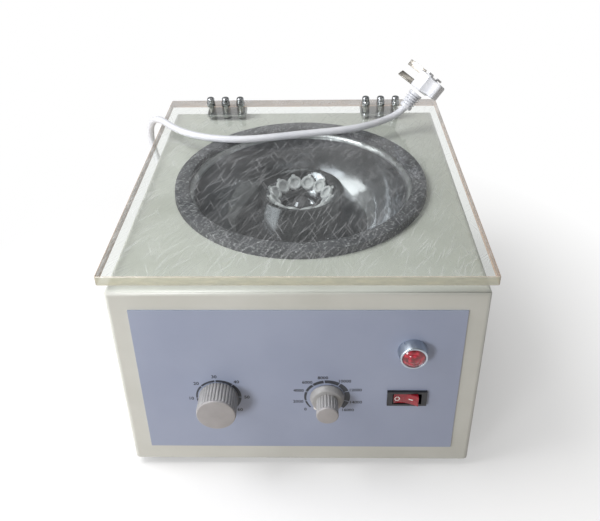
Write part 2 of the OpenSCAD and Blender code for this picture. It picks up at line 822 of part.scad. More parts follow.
module rotor_nut() {
    color("#6f7276")
    translate([0, bowl_y, hub_floor_z]) difference() {
        union() {
            cylinder(r = rotor_nut_r, h = rotor_nut_h - 3);
            translate([0, 0, rotor_nut_h - 3]) cylinder(r1 = rotor_nut_r, r2 = rotor_nut_r - 3, h = 3);
        }
        translate([0, 0, -cut]) cylinder(r = shaft_r + slip / 2, h = rotor_nut_h - shaft_end + cut);
    }
}

module sample_tubes() {
    straight = 0.55 * tube_len;
    tip_r = 1.8;
    wall = 0.9;
    color("#dfe3e6")
    at_tubes() translate([0, 0, -seat_depth]) difference() {
        union() {
            cylinder(r = cap_r, h = rim_t);
            translate([0, 0, -straight]) cylinder(r = tube_r, h = straight);
            translate([0, 0, -tube_len]) cylinder(r1 = tip_r, r2 = tube_r, h = tube_len - straight);
        }
        translate([0, 0, -straight]) cylinder(r = tube_r - wall, h = straight + rim_t + cut);
        translate([0, 0, wall - tube_len])
            cylinder(r1 = tip_r - wall, r2 = tube_r - wall, h = tube_len - straight - wall);
    }
}

module tube_caps() {
    tab_l = 4;
    color("#e8ebed")
    at_tubes() translate([0, 0, rim_t - seat_depth]) {
        difference() {
            cylinder(r = cap_r, h = cap_t);
            translate([0, 0, cap_t / 2]) cylinder(r = cap_r - 1.4, h = cap_t);
        }
        translate([cap_r - 1, -2.2, 0]) cube([tab_l, 4.4, 1.2]);
        translate([-cap_r - 1.2, -1.6, 0]) cube([2.2, 3.2, 0.8]);
    }
}

// Front panel
module timer_body() {
    color("#3b3b3f")
    difference() {
        union() {
            translate([-timer_x - timer_box / 2, front_y + sheet_t, knobs_z - timer_box / 2])
                cube([timer_box, timer_deep, timer_box]);
            front_rod(-timer_x, front_y + sheet_t, knobs_z, bush_r, sheet_t + label_t + nut_t + 1);
        }
        front_rod(-timer_x, front_y + sheet_t + 20, knobs_z, timer_shaft_r + run_fit, 40);
    }
}

// Ring nut that holds a front control to the plate
module panel_nut(x, z, r, bore) {
    difference() {
        translate([x, front_y - label_t, z]) rotate([90, 0, 0]) cylinder(r = r, h = nut_t, $fn = 6);
        front_rod(x, front_y, z, bore, 10);
    }
}

module timer_nut() {
    color("#a8a9ab") panel_nut(-timer_x, knobs_z, 8, bush_r + slip / 2);
}

module speed_nut() {
    color("#a8a9ab") panel_nut(speed_x, knobs_z, 8, bush_r + slip / 2);
}

// Fluted grip along -Y, with its back on y = 0
module fluted(r, length, flutes, bite) {
    rotate([90, 0, 0]) linear_extrude(length) difference() {
        circle(r, $fn = 96);
        for (i = [0:flutes - 1])
            rotate(360 * i / flutes) translate([r + bite, 0]) circle(2 * bite, $fn = 16);
    }
}

module timer_knob() {
    back = front_y - label_t - knob_gap;
    cap_step = 1.2;
    color("#a2a3a6")
    difference() {
        union() {
            translate([-timer_x, back, knobs_z]) fluted(timer_knob_r, knob_h - cap_step, timer_flutes, 0.55);
            front_rod(-timer_x, back - knob_h + cap_step, knobs_z, timer_knob_r - 1, cap_step);
            front_rod(-timer_x, front_y + sheet_t + 16, knobs_z, timer_shaft_r, sheet_t + 20 + label_t);
        }
        difference() {
            front_rod(-timer_x, back + cut, knobs_z, 8.6, nut_t + 1 + cut);
            front_rod(-timer_x, back + 3 * cut, knobs_z, timer_shaft_r, nut_t + 10);
        }
    }
}

module speed_control() {
    color("#8c8f94")
    difference() {
        union() {
            front_rod(speed_x, front_y + sheet_t + speed_deep, knobs_z, speed_body_r, speed_deep);
            front_rod(speed_x, front_y + sheet_t, knobs_z, bush_r, sheet_t + label_t + nut_t + 1);
        }
        front_rod(speed_x, front_y + sheet_t + 8, knobs_z, timer_shaft_r + run_fit, 40);
    }
}

module speed_knob() {
    back = front_y - label_t - knob_gap;
    cap_step = 1;
    color("#a2a3a6")
    difference() {
        union() {
            translate([speed_x, back, knobs_z]) rotate([90, 0, 0])
                cylinder(r1 = skirt_r, r2 = skirt_r - 1.5, h = skirt_t);
            translate([speed_x, back - skirt_t, knobs_z])
                fluted(speed_knob_r, knob_h - skirt_t - cap_step, speed_flutes, 0.5);
            front_rod(speed_x, back - knob_h + cap_step, knobs_z, speed_knob_r - 0.8, cap_step);
            front_rod(speed_x, front_y + sheet_t + 6, knobs_z, timer_shaft_r, sheet_t + 10 + label_t);
        }
        difference() {
            front_rod(speed_x, back + cut, knobs_z, 8.6, nut_t + 1 + cut);
            front_rod(speed_x, back + 3 * cut, knobs_z, timer_shaft_r, nut_t + 10);
        }
    }
}

module lamp_body() {
    color("#55575b")
    front_rod(lamp_x, front_y + lamp_deep, foot_h + lamp_z, lamp_body_r, lamp_deep + label_t);
}

module lamp_bezel() {
    color("#c3c6c9")
    translate([lamp_x, front_y - label_t, foot_h + lamp_z]) rotate([90, 0, 0]) difference() {
        union() {
            cylinder(r = lamp_r + 1, h = 1.2);
            cylinder(r = lamp_r, h = lamp_len);
        }
        translate([0, 0, 1.6]) cylinder(r = lens_r + slip, h = lamp_len);
    }
}

module lamp_lens() {
    dome = 3.2;
    dome_r = (lens_r * lens_r + dome * dome) / (2 * dome);
    color("#d21c24")
    translate([lamp_x, front_y - label_t, foot_h + lamp_z]) rotate([90, 0, 0]) {
        translate([0, 0, 1.6]) cylinder(r = lens_r, h = lamp_len - 1.6);
        translate([0, 0, lamp_len]) intersection() {
            translate([0, 0, dome - dome_r]) sphere(dome_r);
            cylinder(r = lens_r, h = dome);
        }
    }
}

module switch_frame() {
    y = front_y - label_t;
    color("#232326")
    difference() {
        union() {
            translate([switch_x - switch_w / 2, y - switch_flange, knobs_z - switch_h / 2])
                cube([switch_w, switch_flange, switch_h]);
            translate([switch_x - switch_box_w / 2, y, knobs_z - switch_box_h / 2])
                cube([switch_box_w, switch_deep, switch_box_h]);
            for (i = [-1, 0, 1]) translate([switch_x + i * 8 - 0.4, y + switch_deep, knobs_z - 3])
                cube([0.8, 8, 6]);
        }
        translate([switch_x - rocker_well_w / 2, y - switch_flange - cut, knobs_z - rocker_h / 2 - clear])
            cube([rocker_well_w, switch_flange + cut + 13, rocker_h + 2 * clear]);
        translate([switch_x, rocker_y, knobs_z])
            cylinder(r = rocker_pin_r + run_fit,
                     h = rocker_h + 2 * (clear + rocker_pin_in + slip), center = true);
    }
}

// The rocker turns about an upright axis, and off presses its left end in
module switch_rocker() {
    half = rocker_w / 2;
    color("#c01f26")
    translate([switch_x, rocker_y, knobs_z]) rotate(-rocker_throw / 2) {
        translate([0, 0, -rocker_h / 2]) linear_extrude(rocker_h) polygon([
            [-half, -rocker_tip], [0, -rocker_tip + 1.8], [half, -rocker_tip],
            [half - 1.2, 3.5], [3, 6.5], [-3, 6.5], [1.2 - half, 3.5],
        ]);
        cylinder(r = rocker_pin_r, h = rocker_h + 2 * (clear + rocker_pin_in), center = true);
    }
}

// Electrical parts inside
module control_board() {
    z = tray_z + board_lift;
    color("#2d6b45")
    difference() {
        translate([-board_w / 2, board_y - board_d / 2, z]) cube([board_w, board_d, board_t]);
        at_board_corners() translate([0, 0, z - cut]) cylinder(r = 1.6, h = board_t + 2 * cut);
    }
}

module board_standoffs() {
    color("#c9b06a")
    at_board_corners() {
        translate([0, 0, tray_z]) cylinder(r = 3, h = board_lift, $fn = 6);
        translate([0, 0, tray_z + board_lift]) cylinder(r = 1.5, h = board_t + 1);
    }
}

module heat_sink() {
    z = tray_z + board_lift + board_t;
    fins = 6;
    color("#aeb1b5")
    translate([-36, board_y - 12, z]) {
        cube([34, 3, 26]);
        for (i = [0:fins - 1]) translate([i * (34 - 1.4) / (fins - 1), 0, 0]) cube([1.4, 14, 26]);
    }
}

module capacitor() {
    z = tray_z + board_lift + board_t;
    color("#34508a") translate([28, board_y, z]) cylinder(r = 9, h = 24);
}

module fuse_holder() {
    color("#232326") {
        front_rod(fuse_x, back_y + fuse_reach, gland_z, fuse_r, fuse_reach);
        front_rod(fuse_x, back_y, gland_z, bush_r, fuse_body);
    }
}

// Hinges
module knuckle(x) {
    translate([x - knuckle_w / 2, pin_y, pin_z]) rotate([0, 90, 0]) cylinder(r = knuckle_r, h = knuckle_w);
}

module case_hinge_leaves() {
    color("#b4b6b8")
    at_hinges() difference() {
        union() {
            for (side = [-1, 1]) {
                x = side * (knuckle_w + knuckle_gap);
                knuckle(x);
                translate([x - knuckle_w / 2, back_y, pin_z - knuckle_r - 3])
                    cube([knuckle_w, leaf_t, knuckle_r + 3]);
            }
            translate([-hinge_w / 2, back_y, pin_z - leaf_drop])
                cube([hinge_w, leaf_t, leaf_drop - knuckle_r - 1]);
        }
        translate([-hinge_w, pin_y, pin_z]) rotate([0, 90, 0])
            cylinder(r = hinge_pin_r + slip / 10, h = 2 * hinge_w);
        for (step = [-1, 0, 1])
            front_rod(step * hinge_pitch, back_y + leaf_t + cut, leaf_screw_z,
                      hinge_screw_r + slip, leaf_t + 2 * cut);
    }
}

module lid_hinge_leaves() {
    color("#b4b6b8")
    at_hinges() difference() {
        union() {
            knuckle(0);
            translate([-knuckle_w / 2, pin_y - knuckle_r - 1, lid_z - leaf_t])
                cube([knuckle_w, knuckle_r + 1, leaf_t]);
            translate([-hinge_w / 2, lid_screw_row_y - leaf_front, lid_z - leaf_t])
                cube([hinge_w, lid_screw_y + leaf_front - knuckle_r - 1, leaf_t]);
        }
        translate([-hinge_w, pin_y, pin_z]) rotate([0, 90, 0])
            cylinder(r = hinge_pin_r + run_fit, h = 2 * hinge_w);
        for (step = [-1, 0, 1]) translate([step * hinge_pitch, lid_screw_row_y, lid_z - leaf_t - cut])
            cylinder(r = hinge_screw_r + slip, h = leaf_t + 2 * cut);
    }
}

module hinge_pins() {
    color("#8f9194")
    at_hinges() translate([-hinge_w / 2 - 0.5, pin_y, pin_z]) rotate([0, 90, 0])
        cylinder(r = hinge_pin_r, h = hinge_w + 1);
}

module case_hinge_screws() {
    color("#a8a9ab")
    at_hinge_screws() translate([0, back_y + leaf_t, leaf_screw_z]) rotate([-90, 0, 0])
        screw(hinge_screw_r, leaf_t + sheet_t + 4, 1.7 * hinge_screw_r, screw_head_h);
}

// Lid
module lid_sheet() {
    front = front_y - lid_front;
    back = back_y - lid_setback;
    color("#cfe0d2", 0.45)
    difference() {
        translate([0, (front + back) / 2, lid_z])
            linear_extrude(lid_t) round_rect(lid_w, back - front, 1.5);
        at_hinge_screws() translate([0, lid_screw_row_y, lid_z - cut])
            cylinder(r = hinge_screw_r + slip, h = lid_t + 2 * cut);
    }
}

module lid_screws() {
    color("#a8a9ab")
    at_hinge_screws() translate([0, lid_screw_row_y, lid_z - leaf_t]) mirror([0, 0, 1])
        screw(hinge_screw_r, leaf_t + lid_t + 6, 1.7 * hinge_screw_r, screw_head_h);
}

module cap_nuts() {
    hex_h = 0.65 * cap_nut_h;
    dome_r = cap_nut_w / 2;
    color("#c3c6c9")
    at_hinge_screws() translate([0, lid_screw_row_y, lid_top]) difference() {
        union() {
            cylinder(r = cap_nut_w / 2 / cos(30), h = hex_h, $fn = 6);
            translate([0, 0, cap_nut_h - dome_r]) sphere(dome_r);
        }
        translate([0, 0, -cut]) cylinder(r = hinge_screw_r + slip / 2, h = 6.5 + cut);
    }
}

// Mains cord
module cord_gland() {
    color("#dcdcd8")
    translate([gland_x, back_y, gland_z]) rotate([-90, 0, 0]) {
        cylinder(r = bush_r + 4, h = 3);
        translate([0, 0, 3]) cylinder(r1 = cord_r + 3, r2 = cord_r + 1, h = relief_len - 3);
        translate([0, 0, -8]) cylinder(r = bush_r, h = 8);
    }
}

module cord_lead() {
    color("#dcdcd8") tube(lead_route, cord_r, cord_sides, [0, 1, 0], [-1, 0, 0], [0, 0, 1]);
}

// The coil winds in on the floor, climbs a layer in the half turn in the middle and winds out on top
function coil_radius(turn) = coil_r - coil_pitch * min(turn, coil_turns - turn);
function coil_height(turn) =
    let (t = min(1, max(0, 2 * (turn - coil_turns / 2) + 0.5)))
    coil_z + coil_pitch * t * t * (3 - 2 * t);
function coil_point(turn) =
    [coil_x + coil_radius(turn) * cos(90 + 360 * turn),
     coil_y + coil_radius(turn) * sin(90 + 360 * turn),
     coil_height(turn)];
coil_points = concat(
    [coil_point(0) + [coil_end, 0, 0]],
    [for (i = [0:coil_turns * cord_rings]) coil_point(i / cord_rings)],
    [coil_point(coil_turns) - [coil_end, 0, 0]]
);

// The least gap between two turns, from the rings' middles half a turn or more apart
coil_gap = min([for (i = [0:len(coil_points) - 1]) for (k = [i + cord_rings / 2:len(coil_points) - 1])
    norm(coil_points[i] - coil_points[k])]) - 2 * cord_r;
echo(least_gap_in_coil = coil_gap);

module cord_coil() {
    color("#dcdcd8") tube(coil_points, cord_r, 6, [-1, 0, 0], [-1, 0, 0], [0, 0, 1]);
}

module cord_tie() {
    near_r = coil_r - coil_pitch * coil_turns / 2 - cord_r - 0.7;
    far_r = coil_radius(0.5) + cord_r + 0.7;
    low = coil_z - cord_r - 0.4;
    high = coil_z + coil_pitch + cord_r + 0.4;
    color("#3a3a3c")
    translate([coil_x - tie_w / 2, coil_y, 0]) difference() {
        translate([0, -far_r - tie_t, low - tie_t])
            cube([tie_w, far_r - near_r + 2 * tie_t, high - low + 2 * tie_t]);
        translate([-cut, -far_r, low]) cube([tie_w + 2 * cut, far_r - near_r, high - low]);
    }
}

module cord_run() {
    color("#dcdcd8")
    tube(run_route, cord_r, cord_sides, [-1, 0, 0], lid_route[1] - lid_route[0], [0, 0, 1]);
}

// The lid carries its own stretch, which starts a hair above the stretch below
module cord_on_lid() {
    rise = unit(lid_route[1] - lid_route[0]);
    route = concat([lid_route[0] + clear * rise], [for (i = [1:len(lid_route) - 1]) lid_route[i]]);
    color("#dcdcd8") tube(route, cord_r, cord_sides, rise, plug_along, [1, 0, 0]);
}

module plug() {
    x = unit(plug_along);
    z = unit(plug_blades_up - (plug_blades_up * x) * x);
    y = cross(z, x);
    color("#e4e4e0")
    multmatrix([
        [x[0], y[0], z[0], plug_start[0]],
        [x[1], y[1], z[1], plug_start[1]],
        [x[2], y[2], z[2], plug_start[2]],
    ]) {
        rotate([0, 90, 0]) cylinder(r1 = cord_r + 1.2, r2 = cord_r + 3, h = plug_relief + 2);
        translate([plug_relief + plug_l / 2, 0, 0]) {
            translate([0, 0, plug_face - plug_slab]) linear_extrude(plug_slab) offset(r = 6, $fn = 24)
                square([plug_l - 12, plug_w - 12], center = true);
            hull() {
                translate([0, 0, plug_face - plug_slab]) linear_extrude(1) offset(r = 4, $fn = 24)
                    square([plug_l - 12, plug_w - 12], center = true);
                translate([0, 0, -plug_back]) linear_extrude(1) offset(r = 4, $fn = 24)
                    square([plug_l - 14, plug_w - 16], center = true);
            }
            translate([8 - blade_w / 2, -blade_t / 2, plug_face]) cube([blade_w, blade_t, earth_l]);
            for (side = [-1, 1]) translate([-6, side * 6.5, plug_face]) rotate(-side * 30)
                translate([-blade_w / 2, -blade_t / 2, 0]) cube([blade_w, blade_t, blade_l]);
        }
    }
}

case_shell();
base_tray();
tray_screws();
rubber_feet();
foot_screws();
front_plate();
bowl();
sealing_ring();
shaft_boot();
plate_posts();
rubber_isolators();
isolator_bolts();
motor_plate();
motor_screws();
motor_housing();
motor_top_bell();
motor_bottom_bell();
upper_bearing();
lower_bearing();
field_core();
carbon_brushes();
brush_holders();
motor_shaft();
armature();
commutator();
motor_fan();
rotor_head();
rotor_nut();
sample_tubes();
tube_caps();
timer_body();
timer_nut();
timer_knob();
speed_control();
speed_nut();
speed_knob();
lamp_body();
lamp_bezel();
lamp_lens();
switch_frame();
switch_rocker();
control_board();
board_standoffs();
heat_sink();
capacitor();
fuse_holder();
case_hinge_leaves();
hinge_pins();
case_hinge_screws();
lid_sheet();
lid_hinge_leaves();
lid_screws();
cap_nuts();
cord_gland();
cord_lead();
cord_coil();
cord_tie();
cord_run();
cord_on_lid();
plug();
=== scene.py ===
import math

import bmesh
import bpy
from mathutils import Matrix, Vector


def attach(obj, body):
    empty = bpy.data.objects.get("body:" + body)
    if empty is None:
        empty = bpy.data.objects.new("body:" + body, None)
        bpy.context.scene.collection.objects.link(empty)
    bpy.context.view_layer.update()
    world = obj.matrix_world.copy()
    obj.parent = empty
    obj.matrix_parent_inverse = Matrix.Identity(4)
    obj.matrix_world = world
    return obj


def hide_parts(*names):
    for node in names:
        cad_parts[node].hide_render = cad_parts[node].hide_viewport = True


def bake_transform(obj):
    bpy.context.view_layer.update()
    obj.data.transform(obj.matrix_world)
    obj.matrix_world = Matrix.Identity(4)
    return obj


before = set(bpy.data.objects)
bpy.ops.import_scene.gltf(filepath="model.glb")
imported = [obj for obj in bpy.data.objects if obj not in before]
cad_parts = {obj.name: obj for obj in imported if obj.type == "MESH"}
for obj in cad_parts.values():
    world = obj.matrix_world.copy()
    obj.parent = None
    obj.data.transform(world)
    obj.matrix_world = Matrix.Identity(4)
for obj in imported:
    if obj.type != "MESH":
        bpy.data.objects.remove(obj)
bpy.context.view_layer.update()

scene = bpy.context.scene

# Everything below is in millimetres and degrees in the CAD's own frame, unless a comment says metres.
MM = 0.001


def node_box(name):
    """The low corner, the middle and the high corner of a CAD node, to a tenth of a millimetre."""
    spots = [v.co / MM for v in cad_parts[name].data.vertices]
    low, high = ([end(spot[i] for spot in spots) for i in range(3)] for end in (min, max))
    middle = [(a + b) / 2 for a, b in zip(low, high)]
    return [tuple(round(c, 1) for c in spot) for spot in (low, middle, high)]


case_low, case_mid, case_high = node_box("case_shell")
lid_low, lid_mid, lid_high = node_box("lid_sheet")
FRONT, BACK, DECK = case_low[1], case_high[1], case_high[2]
LID_UNDER, LID_TOP = lid_low[2], lid_high[2]
PLATE = node_box("front_plate")[0][1]
BOWL_Y = node_box("bowl")[1][1]
TIMER_X, _, KNOBS_Z = node_box("timer_knob")[1]
SPEED_X = node_box("speed_knob")[1][0]
LAMP_X, _, LAMP_Z = node_box("lamp_bezel")[1]
SWITCH_X = node_box("switch_frame")[1][0]
KNOB_BACK = PLATE - 0.5
CORD_R = 3.5


# Camera

CAMERA_AT = (15.42, -522.33, 505.18)
PICTURE_W, PICTURE_H = 600, 521         # pixels, as are the focal length and the optical axis
FOCAL, AXIS_X, AXIS_Y = 678.56, 301.45, 164.5
PITCH, YAW, ROLL = 29.492, 1.566, -1.050
SENSOR = 36


def place_camera():
    """The photograph's camera, solved from the case's edges."""
    pitch, yaw, roll = (math.radians(a) for a in (PITCH, YAW, ROLL))
    data = bpy.data.cameras.new("camera")
    data.sensor_fit = "HORIZONTAL"
    data.sensor_width = SENSOR
    data.lens = FOCAL * SENSOR / PICTURE_W
    data.shift_x = -(AXIS_X - PICTURE_W / 2) / PICTURE_W
    data.shift_y = (AXIS_Y - PICTURE_H / 2) / PICTURE_W
    data.clip_end = 20
    ahead = Vector((-math.sin(yaw) * math.cos(pitch), math.cos(yaw) * math.cos(pitch), -math.sin(pitch)))
    level = Vector((math.cos(yaw), math.sin(yaw), 0))
    over = level.cross(ahead)
    right = math.cos(roll) * level + math.sin(roll) * over
    up = math.cos(roll) * over - math.sin(roll) * level
    camera = bpy.data.objects.new("camera", data)
    turn = Matrix((right, up, -ahead)).transposed().to_4x4()
    camera.matrix_world = Matrix.Translation(Vector(CAMERA_AT) * MM) @ turn
    scene.collection.objects.link(camera)
    scene.camera = camera


place_camera()
scene.view_settings.view_transform = "Standard"


# Materials

WHITE = (1, 1, 1, 1)


def colour(code):
    """An sRGB hex colour as linear red, green, blue and alpha."""
    parts = [int(code[i:i + 2], 16) / 255 for i in (1, 3, 5)]
    return tuple(c / 12.92 if c <= 0.04045 else ((c + 0.055) / 1.055) ** 2.4 for c in parts) + (1.0,)


def per_m(size):
    """Texture scale of a pattern whose features are that many millimetres apart."""
    return 1000 / size


def add(tree, kind, inputs=(), **settings):
    """Adds a node with its settings and gives its outputs. The inputs are a list in the node's own
    order, or a table by name. One that is a socket is linked, and any other is set."""
    made = tree.nodes.new("ShaderNode" + kind)
    for name, value in settings.items():
        setattr(made, name, value)
    for key, value in (inputs.items() if isinstance(inputs, dict) else enumerate(inputs)):
        if isinstance(value, bpy.types.NodeSocket):
            tree.links.new(value, made.inputs[key])
        else:
            made.inputs[key].default_value = value
    return made.outputs


def blank(name):
    """A new material with its tree, its Principled shader's inputs and the object's coordinates."""
    material = bpy.data.materials.new(name)
    material.use_nodes = True
    tree = material.node_tree
    return material, tree, tree.nodes["Principled BSDF"].inputs, add(tree, "TexCoord")["Object"]


def connect(tree, inputs, **values):
    """Links or sets a shader's inputs, whose names have an underscore for each space."""
    for key, value in values.items():
        socket = inputs[key.replace("_", " ")]
        if isinstance(value, bpy.types.NodeSocket):
            tree.links.new(value, socket)
        else:
            socket.default_value = value


def patches(tree, coords, size, detail, low, high, least=0.0, most=1.0):
    """Soft uneven patches of a size in millimetres. Where their noise is low they have the least
    value, and where it is high the most."""
    cloud = add(tree, "TexNoise", {"Vector": coords, "Scale": per_m(size), "Detail": detail})[0]
    return add(tree, "MapRange", [cloud, low, high, least, most])[0]


def finish(name, main, other, rough, patch, grain, depth, spread=0.08, squeeze=(1, 1, 1),
           **values):
    """A surface whose colour drifts between two near ones, with uneven gloss and a fine grain.
    patch and grain are the millimetres between features, depth is the grain's height, and squeeze
    stretches the grain along an axis. The real grain of these surfaces is a few hundredths of a
    millimetre and a pixel is nearly one, so it is drawn at 0.2 to 1.6 mm to show at all."""
    material, tree, shader, coords = blank(name)
    drift = patches(tree, coords, patch, 4, 0.35, 0.65)
    tint = add(tree, "MixRGB", [drift, colour(main), colour(other)])[0]
    gloss = patches(tree, coords, patch / 3, 3, 0.3, 0.7, rough - spread, rough + spread)
    drawn = add(tree, "Mapping", {"Vector": coords, "Scale": squeeze})[0]
    height = add(tree, "TexNoise", {"Vector": drawn, "Scale": per_m(grain), "Detail": 2})[0]
    bump = add(tree, "Bump", {"Strength": 0.5, "Distance": depth * MM, "Height": height})[0]
    connect(tree, shader, Base_Color=tint, Roughness=gloss, Normal=bump, **values)
    return material


# Stove enamel sprayed on sheet steel: an even cream with a soft sheen and a faint orange peel.
enamel = finish("stove_enamel_cream", "#d3d4cd", "#cacbc3", 0.36, patch=60, grain=1.6, depth=0.035,
                spread=0.05, Coat_Weight=0.25, Coat_Roughness=0.25)
# Screen-printed aluminium foil: flat blue-grey, nearly matt, with a hardly visible grain.
foil = finish("printed_foil_blue_grey", "#a2abc1", "#9ba4bb", 0.42, patch=70, grain=0.5, depth=0.006,
              spread=0.05)
# Screen ink: a soft black that lies matt on the foil.
ink = finish("screen_ink_black", "#33363d", "#3d4048", 0.55, patch=3, grain=0.3, depth=0.004)
# Zinc-plated sheet: a cold grey metal whose shine is patchy.
zinc = finish("zinc_plated_sheet", "#b4b6b4", "#9fa2a1", 0.38, patch=9, grain=0.7, depth=0.01,
              Metallic=1.0)
# Zinc-plated screws: a little brighter than the sheet, as tumbled small parts are.
screw_zinc = finish("zinc_plated_screw", "#b9bab6", "#a6a8a4", 0.3, patch=3, grain=0.4, depth=0.008,
                    Metallic=1.0)
# Moulded nitrile rubber: charcoal and dull, with a dusty grain.
nitrile = finish("nitrile_rubber_black", "#242426", "#2e2e31", 0.72, patch=6, grain=0.5, depth=0.03)
# Moulded nylon: black with a broad soft highlight.
nylon = finish("black_nylon_moulded", "#1d1d1f", "#27272a", 0.42, patch=8, grain=0.35, depth=0.012)
# Motor enamel on rolled steel: slate blue with a dull gloss.
motor_enamel = finish("motor_enamel_slate", "#3b4650", "#45515c", 0.4, patch=14, grain=1.0, depth=0.03)
# Die-cast aluminium: pale grey and slightly rough from the mould.
cast_alloy = finish("cast_aluminium", "#a2a4a6", "#8e9092", 0.5, patch=5, grain=0.8, depth=0.05,
                    Metallic=1.0)
# Ground bearing steel: bright, with a clean narrow highlight.
bearing_steel = finish("ground_bearing_steel", "#c6c8ca", "#b7b9bb", 0.2, patch=5, grain=0.2,
                       depth=0.003, Metallic=1.0)
# Lacquered iron laminations: brown, with the fine lines of the stacked sheets.
laminations = finish("lacquered_laminations", "#62503d", "#534231", 0.4, patch=4, grain=0.5, depth=0.05,
                     squeeze=(0.05, 0.05, 1), Metallic=0.4)
# Wound copper wire: reddish, with ridges where the turns lie side by side.
copper = finish("wound_copper_wire", "#9a5a33", "#7e4626", 0.34, patch=2, grain=0.6, depth=0.15,
                squeeze=(1, 1, 0.1), Metallic=0.8)
# Pressed carbon: nearly black, dull and even.
carbon = finish("pressed_carbon", "#26272a", "#303135", 0.6, patch=2, grain=0.3, depth=0.02)
# Turned brass: a muted yellow with a clear highlight.
brass = finish("turned_brass", "#b79656", "#a58548", 0.3, patch=5, grain=0.3, depth=0.006, Metallic=1.0)
# Board laminate under solder lacquer: green with a glassy sheen.
laminate = finish("board_laminate_green", "#27663f", "#1f5735", 0.35, patch=4, grain=0.8, depth=0.02)
# Shrunk plastic sleeve of the capacitor: smooth dark blue.
sleeve = finish("blue_capacitor_sleeve", "#2f4d86", "#284379", 0.3, patch=6, grain=0.4, depth=0.01)
# Nickel-plated cap nuts: they mirror the room in small bright spots.
nickel = finish("nickel_plated_nut", "#b9bbbd", "#8c8f92", 0.16, patch=4, grain=0.5, depth=0.01,
                Metallic=1.0)
# Satin-chromed brass of the lamp's sleeve: cool grey bands with soft borders.
satin_chrome = finish("satin_chromed_brass", "#bcc4cc", "#aeb7c0", 0.34, patch=5, grain=0.4,
                      depth=0.003, Metallic=1.0)
# Moulded ABS in a warm grey: a soft sheen on the flutes.
knob_grey = finish("abs_knob_grey", "#a8a7a6", "#9c9b9a", 0.34, patch=8, grain=0.3, depth=0.01)
# The knobs' pressed end faces: the same grey, and so smooth that they look plain.
knob_face = finish("knob_face_satin", "#a9a6a6", "#a09d9d", 0.38, patch=12, grain=0.6, depth=0.001)
# Paint filled into a mark: chalky white.
white_mark = finish("white_filled_mark", "#f2efec", "#e6e2de", 0.5, patch=2, grain=0.3, depth=0.005)
# Moulded red polycarbonate: a deep red with a sharp gloss.
rocker_red = finish("red_polycarbonate_rocker", "#9c1224", "#7e0b1a", 0.24, patch=4, grain=0.4,
                    depth=0.004, Coat_Weight=0.25)
# Extruded PVC of the cord: bluish white with a long highlight.
cord_pvc = finish("pvc_cord_white", "#dedfe2", "#d2d4d9", 0.36, patch=30, grain=0.7, depth=0.02)
# Moulded PVC of the plug: the same white, slightly glossier.
plug_pvc = finish("pvc_plug_white", "#dfe0e3", "#d3d5da", 0.3, patch=10, grain=0.5, depth=0.015)
# Nickel-plated brass blades: a warm grey with worn, uneven shine.
blade = finish("nickel_plated_blade", "#a8a49c", "#8f8b84", 0.3, patch=3, grain=0.4, depth=0.008,
               Metallic=1.0)
# The bowl's rolled lip, brushed by every wipe: a satin grey with one bright line.
lip_steel = finish("brushed_stainless_lip", "#c6c8cb", "#b4b6ba", 0.34, patch=12, grain=0.5, depth=0.01,
                   Metallic=1.0)


def red_lens():
    """Polycarbonate signal lens: deep clear red, with pink cells painted in as the glints of a pressed
    reflector, and a faint painted glow.
    """
    material, tree, shader, coords = blank("red_signal_lens")
    cells = add(tree, "TexVoronoi", {"Vector": coords, "Scale": per_m(3.2)}, feature="SMOOTH_F1")[0]
    # The pink cells are painted highlights, standing in for the reflector's glints.
    painted_glint = add(tree, "MapRange", [cells, 0.15, 0.6])[0]
    tint = add(tree, "MixRGB", [painted_glint, colour("#c41c36"), colour("#6c0814")])[0]
    bump = add(tree, "Bump", {"Strength": 0.5, "Distance": 0.3 * MM, "Height": cells})[0]
    # The small emission is a painted glow that brightens the red; the lens is not lit as a lamp.
    connect(tree, shader, Base_Color=tint, Emission_Color=tint, Normal=bump, Emission_Strength=0.10,
            Roughness=0.14, Coat_Weight=0.5, Coat_Roughness=0.05)
    return material


lens_red = red_lens()


def lathe_rings(tree, coords, size):
    """Noise in rings round the bowl's axis, that many millimetres apart. A lathe leaves them about
    0.1 mm apart, and they are drawn coarser so that they show."""
    flat = add(tree, "Mapping", {"Vector": coords, "Location": (0, -BOWL_Y * MM, 0), "Scale": (1, 1, 0)})
    reach = add(tree, "VectorMath", [flat[0]], operation="LENGTH")["Value"]
    return add(tree, "TexNoise", {"W": reach, "Scale": per_m(size), "Detail": 2.0},
               noise_dimensions="1D")[0]


def spun_steel():
    """Spun and polished stainless: a mirror with a haze round its highlights, which the faint
    rings that the lathe left give it."""
    material, tree, shader, coords = blank("spun_stainless_bowl")
    rings = lathe_rings(tree, coords, 0.9)
    cloud = patches(tree, coords, 26, 4, 0.35, 0.7)
    tint = add(tree, "MixRGB", [cloud, colour("#b9bbbf"), colour("#a4a6ab")])[0]
    fine = add(tree, "Bump", {"Strength": 0.2, "Distance": 0.01 * MM, "Height": rings})[0]
    waves = add(tree, "TexNoise", {"Vector": coords, "Scale": per_m(60), "Detail": 1})[0]
    dents = add(tree, "Bump", {"Strength": 0.25, "Distance": 0.25 * MM, "Height": waves, "Normal": fine})[0]
    hazy = add(tree, "MapRange", [rings, 0.3, 0.7, 0.36, 0.48])[0]
    connect(tree, shader, Base_Color=tint, Roughness=hazy, Normal=dents, Metallic=1.0)
    mirror = add(tree, "BsdfGlossy", {"Color": tint, "Roughness": 0.09, "Normal": dents})[0]
    haze = tree.nodes["Principled BSDF"].outputs[0]
    both = add(tree, "MixShader", [0.62, haze, mirror])[0]
    connect(tree, tree.nodes["Material Output"].inputs, Surface=both)
    return material


bowl_steel = spun_steel()


